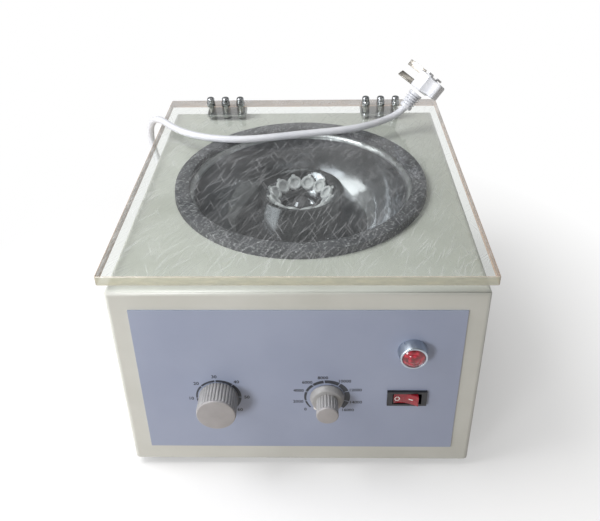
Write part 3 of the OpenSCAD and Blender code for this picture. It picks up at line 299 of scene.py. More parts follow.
def foam_rubber():
    """Foam rubber with cut cells: charcoal, with dust in the cells as pale specks. The real cells
    are about 0.5 mm, and they and the dust are drawn coarser so that they show."""
    material, tree, shader, coords = blank("foam_rubber_charcoal")
    cells = add(tree, "TexVoronoi", {"Vector": coords, "Scale": per_m(1.5)})["Distance"]
    dust = patches(tree, coords, 2.0, 4, 0.54, 0.70)
    base = add(tree, "MixRGB", [patches(tree, coords, 14, 3, 0.35, 0.65), colour("#37383d"),
                                colour("#46474d")])[0]
    tint = add(tree, "MixRGB", [dust, base, colour("#9d9ea1")])[0]
    bump = add(tree, "Bump", {"Strength": 0.5, "Distance": 0.25 * MM, "Height": cells})[0]
    connect(tree, shader, Base_Color=tint, Normal=bump, Roughness=0.7)
    return material


seal_foam = foam_rubber()


def rotor_alloy():
    """Turned and anodised aluminium: dark and glossy, with the tool's rings."""
    material, tree, shader, coords = blank("anodised_aluminium_rotor")
    rings = lathe_rings(tree, coords, 0.6)
    cloud = patches(tree, coords, 20, 3, 0.3, 0.7)
    tint = add(tree, "MixRGB", [cloud, colour("#6e7074"), colour("#5b5d61")])[0]
    bump = add(tree, "Bump", {"Strength": 0.3, "Distance": 0.01 * MM, "Height": rings})[0]
    gloss = add(tree, "MapRange", [rings, 0.3, 0.7, 0.12, 0.22])[0]
    connect(tree, shader, Base_Color=tint, Roughness=gloss, Normal=bump, Metallic=1.0)
    return material


rotor_metal = rotor_alloy()


def clear_plastic(name, code, body, rough):
    """Moulded polypropylene, milky: a share of the light goes straight through, the rest scatters."""
    material, tree, shader, coords = blank(name)
    connect(tree, shader, Base_Color=colour(code),
            Alpha=patches(tree, coords, 5, 3, 0.3, 0.7, body - 0.06, body + 0.06),
            Roughness=patches(tree, coords, 3, 2, 0.3, 0.7, rough - 0.05, rough + 0.05),
            Subsurface_Weight=0.3, Subsurface_Radius=(0.002, 0.002, 0.002))
    return material


tube_clear = clear_plastic("polypropylene_tube", "#e3e7ea", 0.62, 0.3)
cap_clear = clear_plastic("polypropylene_cap", "#eceef1", 0.56, 0.34)


def scratches(tree, coords, angle, width, length, least, shift):
    """Straight hairlines that lie one way, as a mask: one in each cell of that width and length in
    millimetres, drawn only where the cell's own chance value passes the least."""
    laid = add(tree, "Mapping", {"Vector": coords, "Location": (shift, shift / 2, 0),
                                 "Rotation": (0, 0, math.radians(angle))})[0]
    drawn = add(tree, "Mapping", {"Vector": laid, "Scale": (per_m(length), per_m(width), 1)})[0]
    cells = add(tree, "TexVoronoi", {"Vector": drawn, "Scale": 1.0}, voronoi_dimensions="2D")
    line = add(tree, "MapRange", [cells["Distance"], 0.10, 0.17, 1.0, 0.0])[0]
    kept = add(tree, "MapRange", [cells["Color"], least, least + 0.06])[0]
    return add(tree, "Math", [line, kept], operation="MULTIPLY")[0]


def wear(tree, coords):
    """Wiping scratches in five directions, dust and a haze, as the share of a face that they veil.
    Real scratches and specks are about 0.05 mm wide, and are drawn ten times as wide to show."""
    # Each row is an angle, the cells' width and length, the least chance and a shift in metres.
    marks = [scratches(tree, coords, *laid) for laid in (
        (-64, 2.0, 70, 0.46, 0.31), (-55, 2.2, 80, 0.50, 0.53), (-73, 2.0, 60, 0.46, 0.17),
        (-42, 2.4, 84, 0.55, 0.77), (-112, 2.4, 60, 0.60, 0.91))]
    specks = add(tree, "TexVoronoi", {"Vector": coords, "Scale": per_m(3.5)})
    dots = add(tree, "MapRange", [specks["Distance"], 0.08, 0.16, 1.0, 0.0])[0]
    kept = add(tree, "MapRange", [specks["Color"], 0.60, 0.66])[0]
    marks.append(add(tree, "Math", [dots, kept], operation="MULTIPLY")[0])
    mask = marks[0]
    for more in marks[1:]:
        mask = add(tree, "Math", [mask, more], operation="MAXIMUM")[0]
    strength = patches(tree, coords, 45, 3, 0.3, 0.7, 0.09, 0.23)
    mask = add(tree, "Math", [mask, strength], operation="MULTIPLY")[0]
    haze = patches(tree, coords, 30, 4, 0.35, 0.7, 0.01, 0.06)
    return add(tree, "Math", [mask, haze], operation="ADD")[0]


def acrylic(name, tint, worn):
    """Cast acrylic sheet: clear, a little green, with a mirror's sheen at a shallow angle. The
    worn face has scratches and dust."""
    material, tree, _, coords = blank(name)
    tree.nodes.remove(tree.nodes["Principled BSDF"])
    through = add(tree, "BsdfTransparent", [colour(tint)])[0]
    sheen = add(tree, "BsdfGlossy", {"Color": WHITE, "Roughness": 0.03})[0]
    facing = add(tree, "LayerWeight", {"Blend": 0.5})["Facing"]
    steep = add(tree, "Math", [facing, 5.0], operation="POWER")[0]
    share = add(tree, "MapRange", [steep, 0.0, 1.0, 0.035, 0.85])[0]
    clear = add(tree, "MixShader", [share, through, sheen])[0]
    if worn:
        pale = add(tree, "BsdfDiffuse", [colour("#f4f5f6")])[0]
        clear = add(tree, "MixShader", [wear(tree, coords), clear, pale])[0]
    connect(tree, tree.nodes["Material Output"].inputs, Surface=clear)
    return material


lid_top_clear = acrylic("cast_acrylic_worn_face", "#fafbfa", True)
lid_low_clear = acrylic("cast_acrylic_face", "#f9fbf9", False)


def acrylic_edge(name, front, side, body):
    """The sheet's sawn and flamed edge, with the light that it gathers painted in as colour: greenish cream
    along the front, and tan along the sides and the back, a painted reflection of a warm bench seen through
    the sheet."""
    material, tree, shader, coords = blank(name)
    place = add(tree, "SeparateXYZ", [coords])["Y"]
    ahead = add(tree, "MapRange", [place, (FRONT - 1) * MM, (FRONT - 2) * MM])[0]
    drawn = add(tree, "Mapping", {"Vector": coords, "Scale": (0.25, 0.25, 1)})[0]
    streaks = add(tree, "TexNoise", {"Vector": drawn, "Scale": per_m(3), "Detail": 3})[0]
    tint = add(tree, "MixRGB", [ahead, colour(side), colour(front)])[0]
    lit = add(tree, "MapRange", [streaks, 0.3, 0.7, 0.92, 1.06])[0]
    shade = add(tree, "HueSaturation", {"Color": tint, "Value": lit})[0]
    solid = add(tree, "MapRange", [streaks, 0.3, 0.7, body - 0.08, body + 0.08])[0]
    connect(tree, shader, Base_Color=shade, Alpha=solid, Roughness=0.16)
    return material


# The edge's colours are painted light, and the arris is painted lighter still, as a painted highlight along
# the sheet's rims.
lid_edge = acrylic_edge("cast_acrylic_edge", "#c6c5ae", "#a58b78", 0.80)
lid_arris = acrylic_edge("cast_acrylic_arris", "#d5d2c2", "#c0a893", 0.85)


# Mesh helpers

def put(name, data):
    """A new object in the scene."""
    made = bpy.data.objects.new(name, data)
    scene.collection.objects.link(made)
    return made


def piece(name, bm, materials, body, stands_for=(), crease=32, place=None):
    """A mesh in millimetres becomes a piece in metres that rides on a body."""
    bmesh.ops.transform(bm, matrix=Matrix.Scale(MM, 4) @ (place or Matrix()), verts=bm.verts)
    mesh = bpy.data.meshes.new(name)
    bm.to_mesh(mesh)
    bm.free()
    for material in materials:
        mesh.materials.append(material)
    mesh.shade_smooth()
    mesh.set_sharp_from_angle(angle=math.radians(crease))
    made = put(name, mesh)
    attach(made, body)
    if stands_for:
        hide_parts(*stands_for)
    return made


def join(into, part, place=None, slot=0):
    """Moves a part's faces into another mesh, with a place and a material slot."""
    if place is not None:
        bmesh.ops.transform(part, matrix=place, verts=part.verts)
    for face in part.faces:
        face.material_index = slot
    held = bpy.data.meshes.new("held")
    part.to_mesh(held)
    part.free()
    into.from_mesh(held)
    bpy.data.meshes.remove(held)
    return into


def move(x, y, z):
    """A place shifted by millimetres."""
    return Matrix.Translation((x, y, z))


def turn_about(axis, degrees):
    """A place turned about an axis of the frame."""
    return Matrix.Rotation(math.radians(degrees), 4, axis)


def outward(bm):
    """Merges what lies on one spot and turns all faces outwards."""
    bmesh.ops.remove_doubles(bm, verts=bm.verts, dist=1e-4)
    bmesh.ops.recalc_face_normals(bm, faces=bm.faces)
    return bm


def turned(profile, steps=64, closed=False):
    """A line of (radius, height) points spun about Z. A closed one has a hole in the middle."""
    bm = bmesh.new()
    verts = [bm.verts.new((r, 0, z)) for r, z in profile]
    ends = zip(verts, verts[1:] + (verts[:1] if closed else []))
    edges = [bm.edges.new(pair) for pair in ends]
    bmesh.ops.spin(bm, geom=verts + edges, cent=(0, 0, 0), axis=(0, 0, 1), angle=2 * math.pi,
                   steps=steps, use_merge=True)
    return outward(bm)


def rounded(points, radius, steps=4, closed=False):
    """A line whose corners are rounded. Open lines keep their ends."""
    out = []
    count = len(points)
    for i, point in enumerate(points):
        if not closed and i in (0, count - 1):
            out.append(point)
            continue
        here = Vector(point)
        before = Vector(points[i - 1]) - here
        after = Vector(points[(i + 1) % count]) - here
        half = before.angle(after) / 2
        if half > math.radians(89):
            out.append(point)
            continue
        reach = min(radius / math.tan(half), before.length * 0.48, after.length * 0.48)
        r = reach * math.tan(half)
        middle = here + (before.normalized() + after.normalized()).normalized() * (r / math.sin(half))
        first = here + before.normalized() * reach - middle
        last = here + after.normalized() * reach - middle
        for k in range(steps + 1):
            spot = first.slerp(last, k / steps) if first.length > 1e-9 else first
            out.append(tuple(middle + spot))
    return out


def disc(radius, low, high, edge=0.0, arc=3, steps=40):
    """A round bar about Z, whose rims may be rounded."""
    line = [(0, low), (radius, low), (radius, high), (0, high)]
    return turned(rounded(line, edge, arc) if edge else line, steps)


def hoop(inner, outer, low, high, steps):
    """A square-cut ring about Z."""
    return turned([(inner, low), (outer, low), (outer, high), (inner, high)], steps, closed=True)


def bevelled(bm, edges, width, segments=2):
    """A mesh with some edges rounded."""
    bmesh.ops.bevel(bm, geom=edges, offset=width, offset_type="OFFSET", segments=segments, profile=0.5,
                    affect="EDGES", material=-1, clamp_overlap=True)
    return bm


def block(size, centre=(0, 0, 0), edge=0.0):
    """A box with rounded edges."""
    bm = bmesh.new()
    bmesh.ops.create_cube(bm, size=1, matrix=Matrix.Translation(centre) @ Matrix.Diagonal((*size, 1)))
    return bevelled(bm, bm.edges[:], edge) if edge else bm


def pulled(bm, faces, reach):
    """Pulls faces out by a vector. The faces they leave behind close the other end."""
    made = bmesh.ops.extrude_face_region(bm, geom=faces)["geom"]
    bmesh.ops.translate(bm, vec=reach, verts=[v for v in made if isinstance(v, bmesh.types.BMVert)])
    return bm


def height_of(edge):
    """How far an edge climbs."""
    return abs(edge.verts[0].co.z - edge.verts[1].co.z)


def prism(outline, height, edge, segments=2):
    """An outline pulled up along Z, with its two rims rounded."""
    bm = bmesh.new()
    base = bm.faces.new([bm.verts.new((x, y, 0)) for x, y in outline])
    outward(pulled(bm, [base], (0, 0, height)))
    return bevelled(bm, [e for e in bm.edges if height_of(e) < 1e-6], edge, segments)


def loop_of(bm, points):
    """The closed loop of edges through some points."""
    verts = [bm.verts.new(point) for point in points]
    return [bm.edges.new(pair) for pair in zip(verts, verts[1:] + verts[:1])]


def mesh_of(made):
    """What an object shows as a plain mesh."""
    bpy.context.view_layer.update()
    return bpy.data.meshes.new_from_object(made.evaluated_get(bpy.context.evaluated_depsgraph_get()))


def carved(part, cutter):
    """The part with the cutter's shape taken out of it."""
    made = []
    for bm in (part, cutter):
        mesh = bpy.data.meshes.new("carving")
        bm.to_mesh(mesh)
        bm.free()
        made.append(put("carving", mesh))
    cut = made[0].modifiers.new("cut", "BOOLEAN")
    cut.operation = "DIFFERENCE"
    cut.solver = "EXACT"
    cut.object = made[1]
    result = mesh_of(made[0])
    bm = bmesh.new()
    bm.from_mesh(result)
    for mesh in (made[0].data, made[1].data, result):
        bpy.data.meshes.remove(mesh)
    return bm


def smooth_copy(node, name, material, body, crease=32):
    """A merged copy of a CAD node, so that its bends shade smoothly."""
    bm = bmesh.new()
    bm.from_mesh(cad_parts[node].data)
    bmesh.ops.remove_doubles(bm, verts=bm.verts, dist=2e-6)
    bmesh.ops.scale(bm, vec=(1 / MM, 1 / MM, 1 / MM), verts=bm.verts)
    for face in bm.faces:
        face.material_index = 0
    made = piece(name, bm, [material], body, (node,), crease)
    weigh = made.modifiers.new("even_shading", "WEIGHTED_NORMAL")
    weigh.keep_sharp = True


def along(point, direction):
    """A place at a point whose Z axis points that way."""
    return Matrix.Translation(point) @ Vector(direction).to_track_quat("Z", "Y").to_matrix().to_4x4()


def on_panel(x, z, y=PLATE):
    """A place on the front panel: Z of a piece made upright points out of it, and its Y up."""
    return move(x, y, z) @ turn_about("X", 90)


# Mains cord

# From the gland to the coil, from the coil up the left rear corner, and over the lid to the plug.
LEAD = [(60, 190, 30), (60, 204, 28.5), (59, 219, 23), (55, 234, 14), (46, 247, 7), (33, 256, 5),
        (18, 261, 4.8), (2, 262, 4.8), (-13, 262, 4.8), (-28, 262, 4.8)]
RUN = [(-42, 262, 12.4), (-57, 261.5, 11.4), (-72, 259.5, 8), (-87, 255, 4.8), (-101, 248, 3.9),
       (-114, 239, 3.9), (-125, 228, 3.9), (-134, 215, 3.9), (-141, 201, 3.9), (-145.5, 186, 3.9),
       (-148, 170, 3.9), (-149, 152, 3.9), (-149, 134, 3.9), (-149, 119.5, 8), (-149, 109, 18),
       (-149, 105, 32), (-149, 104, 48), (-149, 104, 65), (-149, 104, 82), (-149, 104, 98),
       (-149.5, 104.5, 113), (-151.5, 106.5, 128.5), (-154, 109, 143)]
OVER_LID = [(-157, 112, 156), (-160, 115, 169), (-161, 116, 180), (-158.5, 113, 193), (-151.5, 106, 203.5),
            (-141, 93.5, 208.2), (-128, 80.5, 207.4), (-114, 70, 206.8), (-98, 61.5, 206.8),
            (-80, 56.5, 206.8), (-61, 54.5, 206.8), (-42, 56, 206.8), (-22, 60, 206.8), (-2, 64.5, 206.8),
            (18, 68.5, 206.8), (38, 73, 206.8), (56, 79, 206.8), (73, 88, 206.8), (86.6, 97.1, 207.6),
            (95.7, 101.9, 210.3), (103.8, 105.1, 215.9)]
COIL_X, COIL_Y, COIL_Z = -35, 218, 4.8
COIL_R, COIL_STEP, COIL_TURNS, TURN_POINTS = 44, 7.6, 3, 24


def coil():
    """In along the floor, up a layer in the middle half turn, and out again on top."""
    points = []
    for i in range(COIL_TURNS * TURN_POINTS + 1):
        turn = i / TURN_POINTS
        r = COIL_R - COIL_STEP * min(turn, COIL_TURNS - turn)
        t = min(1, max(0, 2 * (turn - COIL_TURNS / 2) + 0.5))
        a = math.radians(90 + 360 * turn)
        points.append((COIL_X + r * math.cos(a), COIL_Y + r * math.sin(a),
                       COIL_Z + COIL_STEP * t * t * (3 - 2 * t)))
    return points


def through(points, steps=4):
    """A smooth line through all the points."""
    line = [2 * Vector(points[0]) - Vector(points[1])] + [Vector(p) for p in points]
    line.append(2 * line[-1] - line[-2])
    out = []
    for a, b, c, d in zip(line, line[1:], line[2:], line[3:]):
        for k in range(steps):
            t = k / steps
            out.append(0.5 * (2 * b + (c - a) * t + (2 * a - 5 * b + 4 * c - d) * t * t
                              + (3 * b - a - 3 * c + d) * t ** 3))
    out.append(Vector(points[-1]))
    return out


def mains_cord():
    """One round flex from the strain relief, through its coil, to the plug on the lid."""
    line = [p * MM for p in through(LEAD + coil() + RUN + OVER_LID)]
    data = bpy.data.curves.new("mains_cord_line", "CURVE")
    data.dimensions = "3D"
    data.bevel_depth = CORD_R * MM
    data.bevel_resolution = 4
    data.use_fill_caps = True
    spline = data.splines.new("POLY")
    spline.points.add(len(line) - 1)
    for spot, p in zip(spline.points, line):
        spot.co = (*p, 1)
    mesh = mesh_of(put("mains_cord_line", data))
    bpy.data.curves.remove(data)
    mesh.name = "mains_cord"
    mesh.materials.clear()
    mesh.materials.append(cord_pvc)
    mesh.shade_smooth()
    mesh.set_sharp_from_angle(angle=math.radians(60))
    length = sum((b - a).length for a, b in zip(line, line[1:]))
    return put("mains_cord", mesh), line, length


cord, cord_line, cord_length = mains_cord()
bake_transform(cord)
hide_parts("cord_lead", "cord_coil", "cord_run", "cord_on_lid")

SLEEVE_LONG, SLEEVE_BORE, RIBS, RIB_PITCH = 34, 3.6, 7, 4
gland_x, _, gland_z = node_box("cord_gland")[1]


def strain_relief():
    """A moulded sleeve with ribs, which tapers towards the cord."""
    profile = [(SLEEVE_BORE, SLEEVE_LONG), (4.4, SLEEVE_LONG)]
    for i in range(RIBS):
        low = SLEEVE_LONG - 2.5 - i * RIB_PITCH
        r = 4.6 + (SLEEVE_LONG - low) * 0.055
        profile += [(r, low + 1.6), (r, low), (r - 0.9, low - 0.2), (r - 0.9, low - 2.0)]
    profile += [(6.5, 3.4), (8.6, 3), (9, 2.4), (9, 0), (5, 0), (5, -8), (SLEEVE_BORE, -8)]
    return turned(profile, 40, closed=True)


gland = piece("strain_relief_ribbed", strain_relief(), [cord_pvc], "case", ("cord_gland",),
              place=along((gland_x, BACK, gland_z), (0, 1, 0)))

# The strap's reach over the coil and under it, and its own thickness and width.
TIE_NEAR, TIE_FAR, TIE_LOW, TIE_HIGH, TIE_T, TIE_W = 28.4, 44.4, 0.9, 16.3, 0.8, 10


def tie_strap():
    """A strap of flat nylon round the coil."""
    bm = bmesh.new()
    edges = []
    for grow in (0, TIE_T):
        near, far = COIL_Y - TIE_NEAR + grow, COIL_Y - TIE_FAR - grow
        low, high = TIE_LOW - grow, TIE_HIGH + grow
        line = rounded([(far, low), (near, low), (near, high), (far, high)], 4 + grow, 5, closed=True)
        edges += loop_of(bm, [(COIL_X - TIE_W / 2, y, z) for y, z in line])
    band = bmesh.ops.bridge_loops(bm, edges=edges)["faces"]
    return outward(pulled(bm, band, (TIE_W, 0, 0)))


tie = piece("cord_tie_strap", tie_strap(), [nylon], "case", ("cord_tie",))

# The plug's own axes: X along the cord, Z the way its blades point.
plug_x = Vector((0.61, 0.22, 0.76)).normalized()
plug_z = Vector((-0.62, 0.73, 0.29))
plug_z = (plug_z - plug_z.dot(plug_x) * plug_x).normalized()
plug_y = plug_z.cross(plug_x)
plug_place = Matrix.Translation(OVER_LID[-1]) @ Matrix((plug_x, plug_y, plug_z)).transposed().to_4x4()

PLUG_X, PLUG_L, PLUG_W, PLUG_FACE, PLUG_SLAB = 16, 30, 30, 7, 13
PLUG_MID = PLUG_X + PLUG_L / 2
BLADE_W, BLADE_T, EARTH_LONG, BLADE_LONG, BLADE_SLANT = 6.4, 1.5, 21.5, 19.0, 30
# The grip behind the slab, as depth, half length and half width.
GRIP_RINGS = [(-5.0, 13.6, 13.2), (-6.2, 12.9, 12.4), (-8.5, 12.1, 11.0), (-12, 11.6, 10.2),
              (-16, 11.9, 10.2), (-18.6, 11.8, 9.9), (-19.6, 11.0, 9.2), (-20, 9.8, 8.0)]


def plug_ring(half_x, half_y, corner):
    """A rounded outline about the plug's middle."""
    x0, x1 = PLUG_MID - half_x, PLUG_MID + half_x
    return rounded([(x0, -half_y), (x1, -half_y), (x1, half_y), (x0, half_y)], corner, 6, closed=True)


def plug_body():
    """A moulded plug: a thick front slab, a waisted grip behind it and a ribbed sleeve."""
    back = PLUG_FACE - PLUG_SLAB
    whole = bmesh.new()
    join(whole, prism(plug_ring(PLUG_L / 2, PLUG_W / 2, 7), PLUG_SLAB, 1.6, 4), move(0, 0, back))
    grip = bmesh.new()
    rings = [loop_of(grip, [(x, y, depth) for x, y in plug_ring(half_x, half_y, 5)])
             for depth, half_x, half_y in GRIP_RINGS]
    for low, high in zip(rings, rings[1:]):
        bmesh.ops.bridge_loops(grip, edges=low + high)
    for ends in (rings[0], rings[-1]):
        bmesh.ops.edgeloop_fill(grip, edges=ends)
    join(whole, outward(grip))
    for side in (-1, 1):
        # A finger lip across the far end of the slab.
        spot = (PLUG_X + PLUG_L - 4.5, side * (PLUG_W / 2 - 4), back + 0.3)
        join(whole, block((2.2, 11, 1.5), spot, 0.5))
    line = [(3.55, 0.0), (5.6, 0.0), (6.3, 0.7), (6.4, 3.6), (5.2, 4.4)]
    for i in range(4):
        start, r = 5.2 + i * 2.6, 6.5 + i * 0.35
        line += [(5.2, start), (r, start + 0.3), (r + 0.1, start + 1.4), (5.3, start + 1.7)]
    line += [(7.2, 15.6), (7.2, 18), (3.55, 18)]
    return join(whole, turned(line, 32, closed=True), turn_about("Y", 90))


plug_shell = piece("plug_moulded_body", plug_body(), [plug_pvc], "lid", crease=38, place=plug_place)


def plug_blades():
    """One upright blade and two that slant towards it."""
    whole = bmesh.new()
    upright = (PLUG_MID + 8, 0, PLUG_FACE + EARTH_LONG / 2 - 0.5)
    join(whole, block((BLADE_W, BLADE_T, EARTH_LONG), upright, 0.35))
    for side in (-1, 1):
        turn = move(PLUG_MID - 6, side * 6.5, PLUG_FACE) @ turn_about("Z", -side * BLADE_SLANT)
        join(whole, block((BLADE_W, BLADE_T, BLADE_LONG), (0, 0, BLADE_LONG / 2 - 0.5), 0.35), turn)
    return whole


plug_pins = piece("plug_flat_blades", plug_blades(), [blade], "lid", ("plug",), place=plug_place)
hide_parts("plug")


# Bowl and seal

BOWL_R, ROLL_R, BOWL_FLOOR, FLOOR_R, HOLE_R, FLANGE_R = 94.5, 5.5, 126, 50, 15, 111
SEAL_IN, SEAL_OUT, SEAL_TOP = 99.5, 112, LID_UNDER - 0.3
SHEET = 1                               # the bowl's sheet
WALL_TOP = DECK + SHEET - ROLL_R
ROUND_STEPS = 128
AT_BOWL = move(0, BOWL_Y, 0)


def bowl_profile():
    """The CAD's own section: flange, roll, wall on an ellipse and floor."""
    def wall(grow):
        across, down = BOWL_R - FLOOR_R + grow, WALL_TOP - BOWL_FLOOR + grow
        return [(FLOOR_R + across * math.cos(a), WALL_TOP - down * math.sin(a))
                for a in (math.radians(90 * i / 28) for i in range(29))]

    def roll(r):
        return [(BOWL_R + ROLL_R + r * math.cos(a), WALL_TOP + r * math.sin(a))
                for a in (math.radians(90 + 90 * i / 10) for i in range(11))]
    outer = [(FLANGE_R, DECK), (FLANGE_R, DECK + SHEET)] + roll(ROLL_R) + wall(0)[1:]
    floor_edge = [(HOLE_R, BOWL_FLOOR), (HOLE_R, BOWL_FLOOR - SHEET)]
    return outer + floor_edge + wall(SHEET)[::-1] + roll(ROLL_R - SHEET)[::-1][1:]


bowl_turned = turned(bowl_profile(), ROUND_STEPS, closed=True)
for face in bowl_turned.faces:
    # The lip's finish starts just above the wall.
    face.material_index = int(face.calc_center_median().z > WALL_TOP + 0.6)
bowl = piece("bowl_spun_steel", bowl_turned, [bowl_steel, lip_steel], "case", ("bowl",), 40, AT_BOWL)
# The foam ring sits on the flange and reaches down round its rim.
rim = FLANGE_R + 0.1
seal_line = rounded([(SEAL_IN, DECK + SHEET), (rim, DECK + SHEET), (rim, DECK), (SEAL_OUT, DECK),
                     (SEAL_OUT, SEAL_TOP), (SEAL_IN, SEAL_TOP)], 0.9, 4, closed=True)
seal = piece("seal_foam_ring", turned(seal_line, ROUND_STEPS, closed=True), [seal_foam], "case",
             ("sealing_ring",), 50, AT_BOWL)


# Tubes and caps

CAP_Z, TUBE_RING, TUBES, TILT, CAP_LIFT = 173.0, 25.5, 12, 45, 0.4


def tube_place(i):
    """The place of one tube's mouth, tilted out in the rotor."""
    return (AT_BOWL @ move(0, 0, CAP_Z) @ turn_about("Z", 360 * (i + 0.5) / TUBES)
            @ move(TUBE_RING, 0, 0) @ turn_about("Y", -TILT))


def tube_cap():
    """A flat snap cap: raised rim, thumb tab and the strap of its living hinge."""
    cap = turned(rounded([(0, 0), (6, 0), (6, 2.4), (4.7, 2.4), (4.5, 1.3), (0, 1.1)], 0.3, 3), 32)
    join(cap, prism(rounded([(5, -2.2), (9, -2.2), (9, 2.2), (5, 2.2)], 1.4, 4, closed=True), 1.2, 0.25))
    return join(cap, block((2.2, 3.2, 0.8), (-6.1, 0, 0.4), 0.2))


caps = bmesh.new()
for i in range(TUBES):
    join(caps, tube_cap(), tube_place(i) @ move(0, 0, CAP_LIFT))
tube_caps = piece("tube_snap_caps", caps, [cap_clear], "rotor", ("tube_caps",))


# Panel controls

KNOB_LONG, SHAFT_R, SHAFT_IN = 18, 3, 3.4
TIMER_SHAFT, SPEED_SHAFT = 18.7, 8.7    # how far each shaft reaches in behind its knob
NUT_ROOM_R, NUT_ROOM_DEEP = 8.6, 3.2
POINTER_AT, POINTER_R = 222, 12.0       # degrees, and the pointer dot's distance from the axis


def fluted(radius, length, flutes, bite):
    """A grip whose narrow grooves run along it, open at neither end."""
    bm = bmesh.new()
    bmesh.ops.create_circle(bm, cap_ends=True, radius=radius, segments=flutes * 6)
    for v in bm.verts:
        wave = 0.5 + 0.5 * math.cos(flutes * math.atan2(v.co.y, v.co.x))
        v.co *= (radius - bite * wave ** 3) / radius
    outward(pulled(bm, bm.faces[:], (0, 0, length)))
    return bevelled(bm, [e for e in bm.edges if min(v.co.z for v in e.verts) > length - 1e-3], 0.35)


def shaft(low):
    """A knob's shaft, from behind the panel up into the knob."""
    return turned([(0, low), (SHAFT_R - 0.3, low), (SHAFT_R, low + 0.3), (SHAFT_R, SHAFT_IN),
                   (0, SHAFT_IN)], 24)


def nut_room(part):
    """A knob with room behind it for the nut, round the shaft."""
    return carved(part, hoop(SHAFT_R, NUT_ROOM_R, -1, NUT_ROOM_DEEP, 40))


timer_grip = nut_room(fluted(15.5, 16.6, 36, 0.75))
join(timer_grip, shaft(-TIMER_SHAFT))
join(timer_grip, disc(14.9, 16.4, KNOB_LONG, 0.7, 4, 96), slot=1)
timer_knob = piece("timer_knob_fluted", timer_grip, [knob_grey, knob_face], "timer_grip",
                   ("timer_knob",), 28, on_panel(TIMER_X, KNOBS_Z, KNOB_BACK))

skirt = turned(rounded([(0, 0), (13, 0), (13, 1.2), (11.5, 4.5), (0, 4.5)], 0.5, 3), 72)
speed_grip = nut_room(skirt)
join(speed_grip, fluted(8.6, 12.4, 20, 0.7), move(0, 0, 4.4))
join(speed_grip, shaft(-SPEED_SHAFT))
join(speed_grip, disc(8.1, 16.6, KNOB_LONG, 0.5, 4, 64), slot=1)
pointer = disc(0.9, 0, 0.5, 0.15, 2, 20)
at_pointer = turn_about("Z", POINTER_AT) @ move(POINTER_R, 0, 3.3) @ turn_about("Y", 24)
join(speed_grip, pointer, at_pointer, slot=2)
speed_knob = piece("speed_knob_fluted", speed_grip, [knob_grey, knob_face, white_mark], "speed_grip",
                   ("speed_knob",), 28, on_panel(SPEED_X, KNOBS_Z, KNOB_BACK))

# The lamp is a chromed sleeve with a thin rim, and a lens with a stepped dome inside it.
LAMP_SLEEVE = [(9.25, 1.6), (9.25, 8), (9.6, 8), (10.5, 0.5), (10.5, 0), (6, 0), (6, 1.6)]
LAMP_LENS = [(0, 10.7), (2.2, 10.6), (4.2, 10.0), (4.8, 9.5), (5.3, 9.7), (7.2, 9.0), (8.6, 7.9),
             (9.2, 7.0), (9.2, 1.65), (0, 1.65)]
lamp_rim = turned(rounded(LAMP_SLEEVE, 0.2, 3, closed=True), 72, closed=True)
at_lamp = on_panel(LAMP_X, LAMP_Z)
lamp_bezel = piece("lamp_chrome_bezel", lamp_rim, [satin_chrome], "case", ("lamp_bezel",), 30, at_lamp)
lamp_lens = piece("lamp_signal_lens", turned(LAMP_LENS, 48), [lens_red], "case", ("lamp_lens",), 35,
                  at_lamp)

ROCKER_HALF, ROCKER_W, ROCKER_TIP = 9.6, 10.4, -10


def rocker_shape():
    """The rocker in its own frame: X along it, Y into the panel, pivot at the origin."""
    dish = [(-ROCKER_HALF, -5.6), (-6, -4.55), (-2.5, -3.95), (0, -3.8), (2.5, -3.95), (6, -4.55),
            (ROCKER_HALF, -5.6)]
    bm = prism(dish + [(8.4, 3.5), (3, 6.5), (-3, 6.5), (-8.4, 3.5)], ROCKER_W, 0.45, 3)
    bmesh.ops.translate(bm, vec=(0, 0, -ROCKER_W / 2), verts=bm.verts)
    # A ring for off and a dash for on, each laid on its slope of the dish.
    ring_place = move(-6.9, -4.95, 0) @ turn_about("Z", 14.0) @ turn_about("X", 90)
    join(bm, hoop(1.5, 2.15, -0.3, 0.08, 32), ring_place, 1)
    join(bm, block((3.4, 0.4, 0.9), (0, 0.12, 0), 0.08), move(3.6, -4.14, 0) @ turn_about("Z", -9.7), 1)
    return join(bm, disc(1.2, -6.1, 6.1, steps=20))


rocker = piece("switch_rocker_lever", rocker_shape(), [rocker_red, white_mark], "rocker",
               ("switch_rocker",), 30, move(SWITCH_X, PLATE + 2, KNOBS_Z) @ turn_about("Z", ROCKER_TIP))


# Dials

INK_T = 0.06
MARK_GAP = 1.4                          # degrees left blank on each side of a mark


def arc_band(start, end, outer, wide_start, wide_end):
    """A printed arc from one angle to another, seen from the front, that grows wider inwards."""
    steps = max(2, int(abs(end - start) / 2.5))
    bm = bmesh.new()
    bmesh.ops.create_grid(bm, x_segments=steps, y_segments=1, size=1)
    for v in bm.verts:
        t, s = (v.co.x + 1) / 2, (v.co.y + 1) / 2
        a = math.radians(start + (end - start) * t)
        r = outer - s * (wide_start + (wide_end - wide_start) * t)
        v.co = (r * math.cos(a), r * math.sin(a), 0)
    return outward(pulled(bm, bm.faces[:], (0, 0, INK_T)))


def digits(words, size):
    """Figures as a thin mesh, centred on the origin."""
    data = bpy.data.curves.new("digits", "FONT")
    data.body = words
    data.size = size
    data.extrude = INK_T / 2
    data.offset = 0.09
    data.align_x, data.align_y = "CENTER", "CENTER"
    data.resolution_u = 3
    mesh = mesh_of(put("digits", data))
    bm = bmesh.new()
    bm.from_mesh(mesh)
    bpy.data.curves.remove(data)
    bpy.data.meshes.remove(mesh)
    bmesh.ops.remove_doubles(bm, verts=bm.verts, dist=1e-4)
    return bm


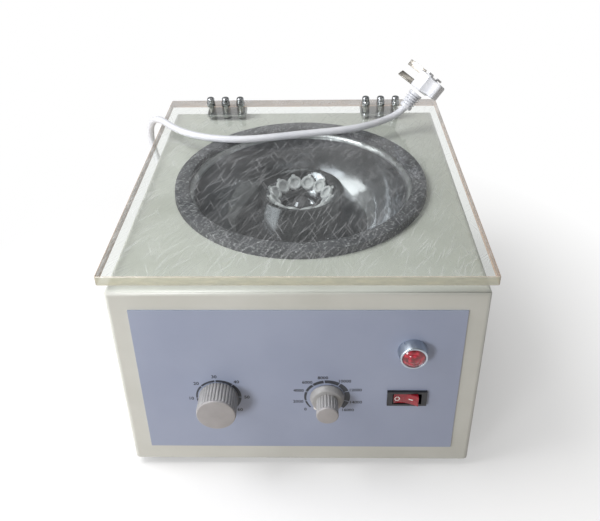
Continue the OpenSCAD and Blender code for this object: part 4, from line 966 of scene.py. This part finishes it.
def dial(name, marks, outer, wide, oval, size, at_x):
    """Arcs between the marks, with a gap at each, and the marks' figures on an oval round them."""
    bm = bmesh.new()
    angles = [a for a, _ in marks]
    total = angles[0] - angles[-1]
    for first, second in zip(angles, angles[1:]):
        grow = [wide[0] + (wide[1] - wide[0]) * (angles[0] - a) / total for a in (first, second)]
        join(bm, arc_band(first - MARK_GAP, second + MARK_GAP, outer, *grow))
    for a, words in marks:
        if words:
            turn = math.radians(a)
            spot = move(oval[0] * math.cos(turn), oval[1] * math.sin(turn), INK_T / 2)
            join(bm, digits(words, size), spot)
    return piece(name, bm, [ink], "case", place=on_panel(at_x, KNOBS_Z, PLATE - 0.01))


timer_marks = [(233, ""), (186, "10"), (139, "20"), (96, "30"), (48, "40"), (-2, "50"), (-44, "60")]
speed_marks = list(zip((223, 195, 161, 131, 98, 55, 21, -17, -46), (str(2000 * i) for i in range(9))))
timer_dial = dial("timer_dial_print", timer_marks, 18.0, (0.9, 3.2), (22.2, 21.6), 4.4, TIMER_X)
speed_dial = dial("speed_dial_print", speed_marks, 18.1, (1.2, 5.0), (23.6, 20.9), 4.1, SPEED_X)


# Lid

ARRIS, CORNER = 0.7, 1.5


def lid_pane():
    """The clear sheet with small arrises along all its edges."""
    bm = block([high - low for low, high in zip(lid_low, lid_high)], lid_mid)
    bevelled(bm, [e for e in bm.edges if height_of(e) > 1], CORNER, 4)
    bevelled(bm, [e for e in bm.edges if height_of(e) < 1e-6], ARRIS)
    bm.normal_update()
    for face in bm.faces:
        # Worn top, underside, upright edge and arris, in the order of the pane's materials.
        up = face.normal.z
        face.material_index = 0 if up > 0.99 else 1 if up < -0.99 else 2 if abs(up) < 0.05 else 3
    return bm


pane = piece("lid_acrylic_pane", lid_pane(), [lid_top_clear, lid_low_clear, lid_edge, lid_arris], "lid",
             ("lid_sheet",), 40)

HINGE_X, HINGE_PITCH, LEAF_T = 82.5, 15.7, 2
hinge_columns = [side * HINGE_X + step * HINGE_PITCH for side in (-1, 1) for step in (-1, 0, 1)]
nuts_y = node_box("cap_nuts")[1][1]
NUT_R, NUT_HIGH, DOME_FROM, DOME_R = 4.62, 5.0, 8.0, 3.95


def cap_nut():
    """A domed nut: hexagon below, round cap above."""
    bm = bmesh.new()
    bmesh.ops.create_circle(bm, cap_ends=True, radius=NUT_R, segments=6)
    outward(pulled(bm, bm.faces[:], (0, 0, NUT_HIGH)))
    bevelled(bm, bm.edges[:], 0.45)
    dome = [(0, NUT_HIGH - 0.4), (DOME_R, NUT_HIGH - 0.4), (DOME_R, DOME_FROM)]
    dome += [(1.9 + 2.05 * math.cos(a), DOME_FROM + 2.0 * math.sin(a))
             for a in (math.radians(15 * k) for k in range(1, 7))]
    return join(bm, turned(dome + [(0, DOME_FROM + 2)], 32))


nuts = bmesh.new()
for x in hinge_columns:
    # Each nut stands at an angle of its own, as it was tightened.
    join(nuts, cap_nut(), move(x, nuts_y, LID_TOP) @ Matrix.Rotation(0.4 + x, 4, "Z"))
dome_nuts = piece("lid_dome_nuts", nuts, [nickel], "lid", ("cap_nuts",), 30)


def pan_head(radius, height, shank, length):
    """A pan-head screw with a cross recess: the head above Z = 0 and the shank below."""
    line = rounded([(0, -length), (shank, -length), (shank, 0), (radius, 0), (radius, height * 0.55),
                    (radius * 0.62, height), (0, height)], 0.3, 3)
    screw = turned(line, 28)
    for wide, deep in ((1.25, 0.3), (0.3, 1.25)):
        screw = carved(screw, block((radius * wide, radius * deep, height * 0.6), (0, 0, height)))
    return screw


def screw_row(name, places, sizes, body, node):
    """One piece of alike screws: head radius, head height, shank radius and length."""
    screws = bmesh.new()
    for place in places:
        join(screws, pan_head(*sizes), place)
    piece(name, screws, [screw_zinc], body, (node,), 30)


tray_z = node_box("tray_screws")[1][2]
rear_z = node_box("case_hinge_screws")[1][2]
tray_places = [along((side * case_high[0], case_mid[1] + step * (BACK - FRONT) / 3, tray_z), (side, 0, 0))
               for side in (-1, 1) for step in (-1, 0, 1)]
rear_places = [along((x, BACK + LEAF_T, rear_z), (0, 1, 0)) for x in hinge_columns]
lid_places = [along((x, nuts_y, LID_UNDER - LEAF_T), (0, 0, -1)) for x in hinge_columns]
screw_row("case_pan_screws", tray_places, (3.8, 2.4, 1.9, 8), "case", "tray_screws")
screw_row("hinge_pan_screws", rear_places, (4.08, 2.4, 2.4, 7.2), "case", "case_hinge_screws")
screw_row("lid_pan_screws", lid_places, (4.08, 2.4, 2.4, 16), "lid", "lid_screws")


# Rear fittings and the nodes that keep their shape

fuse_x, _, fuse_z = node_box("fuse_holder")[1]


def fuse_cap():
    """A bayonet fuse carrier: fluted cap with a coin slot, and its barrel inside."""
    bm = fluted(7, 8, 24, 0.5)
    join(bm, disc(6.2, 7.6, 9.5, 0.6, steps=48))
    bm = carved(bm, block((14, 1.6, 2.4), (0, 0, 9.5)))
    return join(bm, disc(5, -30, 0.2))


fuse = piece("fuse_carrier", fuse_cap(), [nylon], "case", ("fuse_holder",), 30,
             along((fuse_x, BACK, fuse_z), (0, 1, 0)))

smooth_copy("case_shell", "case_enamelled_shell", enamel, "case")
smooth_copy("rotor_head", "rotor_turned_head", rotor_metal, "rotor", 25)
smooth_copy("rubber_feet", "feet_moulded", nitrile, "case")
smooth_copy("sample_tubes", "tubes_moulded", tube_clear, "rotor")
smooth_copy("rotor_nut", "rotor_clamp_nut", rotor_metal, "rotor", 25)
smooth_copy("case_hinge_leaves", "hinge_leaves_case", zinc, "case", 25)
smooth_copy("lid_hinge_leaves", "hinge_leaves_lid", zinc, "lid", 25)

node_finishes = {
    zinc: ["base_tray", "plate_posts", "motor_plate", "speed_control", "timer_nut", "speed_nut"],
    screw_zinc: ["foot_screws", "isolator_bolts", "motor_screws"],
    foil: ["front_plate"],
    nitrile: ["shaft_boot", "rubber_isolators"],
    motor_enamel: ["motor_housing"],
    cast_alloy: ["motor_top_bell", "motor_bottom_bell", "heat_sink"],
    bearing_steel: ["upper_bearing", "lower_bearing", "motor_shaft", "hinge_pins"],
    laminations: ["field_core"],
    copper: ["armature"],
    carbon: ["carbon_brushes"],
    brass: ["brush_holders", "commutator", "board_standoffs"],
    nylon: ["motor_fan", "timer_body", "lamp_body", "switch_frame"],
    laminate: ["control_board"],
    sleeve: ["capacitor"],
}
for material, names in node_finishes.items():
    for name in names:
        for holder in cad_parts[name].material_slots:
            holder.material = material


# Floor and light, in metres

FLOOR_HALF = 4
BACKGROUND = 0.19                       # the world's light on the object


def seen_ray(tree):
    """One where the ray comes from the camera, a mirror or clear plastic, and zero elsewhere."""
    path = add(tree, "LightPath")
    seen = path["Is Camera Ray"]
    for also in ("Is Glossy Ray", "Is Transmission Ray"):
        seen = add(tree, "Math", [seen, path[also]], operation="MAXIMUM")[0]
    return seen


def floor():
    """A bench that keeps the object's shadow. The eye sees it pale and fading to plain white, and
    what it throws back on the object is the warm light of a wooden bench."""
    material, tree, shader, coords = blank("pale_bench")
    cloud = patches(tree, coords, 90, 3, 0.3, 0.7)
    pale = add(tree, "MixRGB", [cloud, colour("#f9f8f6"), colour("#f6f5f3")])[0]
    tint = add(tree, "MixRGB", [seen_ray(tree), colour("#b9ad9f"), pale])[0]
    connect(tree, shader, Base_Color=tint, Roughness=0.9, Specular_IOR_Level=0.1)
    reach = add(tree, "VectorMath", [coords], operation="LENGTH")["Value"]
    fade = add(tree, "MapRange", [reach, 0.18, 0.42, 0.35, 1.0])[0]
    share = add(tree, "Math", [fade, seen_ray(tree)], operation="MULTIPLY")[0]
    white = add(tree, "Emission", {"Color": WHITE, "Strength": 1.0})[0]
    both = add(tree, "MixShader", [share, tree.nodes["Principled BSDF"].outputs[0], white])[0]
    connect(tree, tree.nodes["Material Output"].inputs, Surface=both)
    bm = bmesh.new()
    bmesh.ops.create_grid(bm, x_segments=1, y_segments=1, size=FLOOR_HALF)
    mesh = bpy.data.meshes.new("bench_floor")
    bm.to_mesh(mesh)
    bm.free()
    mesh.materials.append(material)
    put("bench_floor", mesh)


floor()

# Each lamp's name, place, aim, size, watts and colour.
lamps = [
    ("window_left", (-0.82, -0.25, 0.68), (0.0, -0.02, 0.17), (0.60, 0.78), 4.8, "#fdfdff"),
    ("window_high", (-0.62, -0.10, 1.15), (0.0, 0.0, 0.17), (0.50, 0.50), 9.0, "#fdfdff"),
    ("window_front", (-0.62, -0.95, 0.27), (-0.03, -0.15, 0.09), (0.26, 0.32), 4.9, "#fbfcff"),
    ("skylight", (0.1, 0.35, 1.7), (-0.05, 0.05, 0.1), (0.9, 0.6), 2.2, "#ffffff"),
]
for name, spot, aim, size, power, tint in lamps:
    data = bpy.data.lights.new(name, "AREA")
    data.shape = "RECTANGLE"
    data.size, data.size_y = size
    data.energy = power
    data.color = colour(tint)[:3]
    turn = (Vector(aim) - Vector(spot)).to_track_quat("-Z", "Y").to_matrix().to_4x4()
    put(name, data).matrix_world = Matrix.Translation(spot) @ turn


def studio_air():
    """Even light, and a backdrop that is white level with the bench and greyer overhead."""
    world = bpy.data.worlds.new("studio")
    scene.world = world
    world.use_nodes = True
    tree = world.node_tree
    tree.nodes.clear()
    up = add(tree, "SeparateXYZ", [add(tree, "TexCoord")["Generated"]])["Z"]
    sky = add(tree, "MapRange", [up, 0.05, 0.5, 1.0, 0.24])[0]
    shown = add(tree, "Background", {"Color": WHITE, "Strength": sky})[0]
    light = add(tree, "Background", {"Color": WHITE, "Strength": BACKGROUND})[0]
    both = add(tree, "MixShader", [seen_ray(tree), light, shown])[0]
    add(tree, "OutputWorld", {"Surface": both})


studio_air()
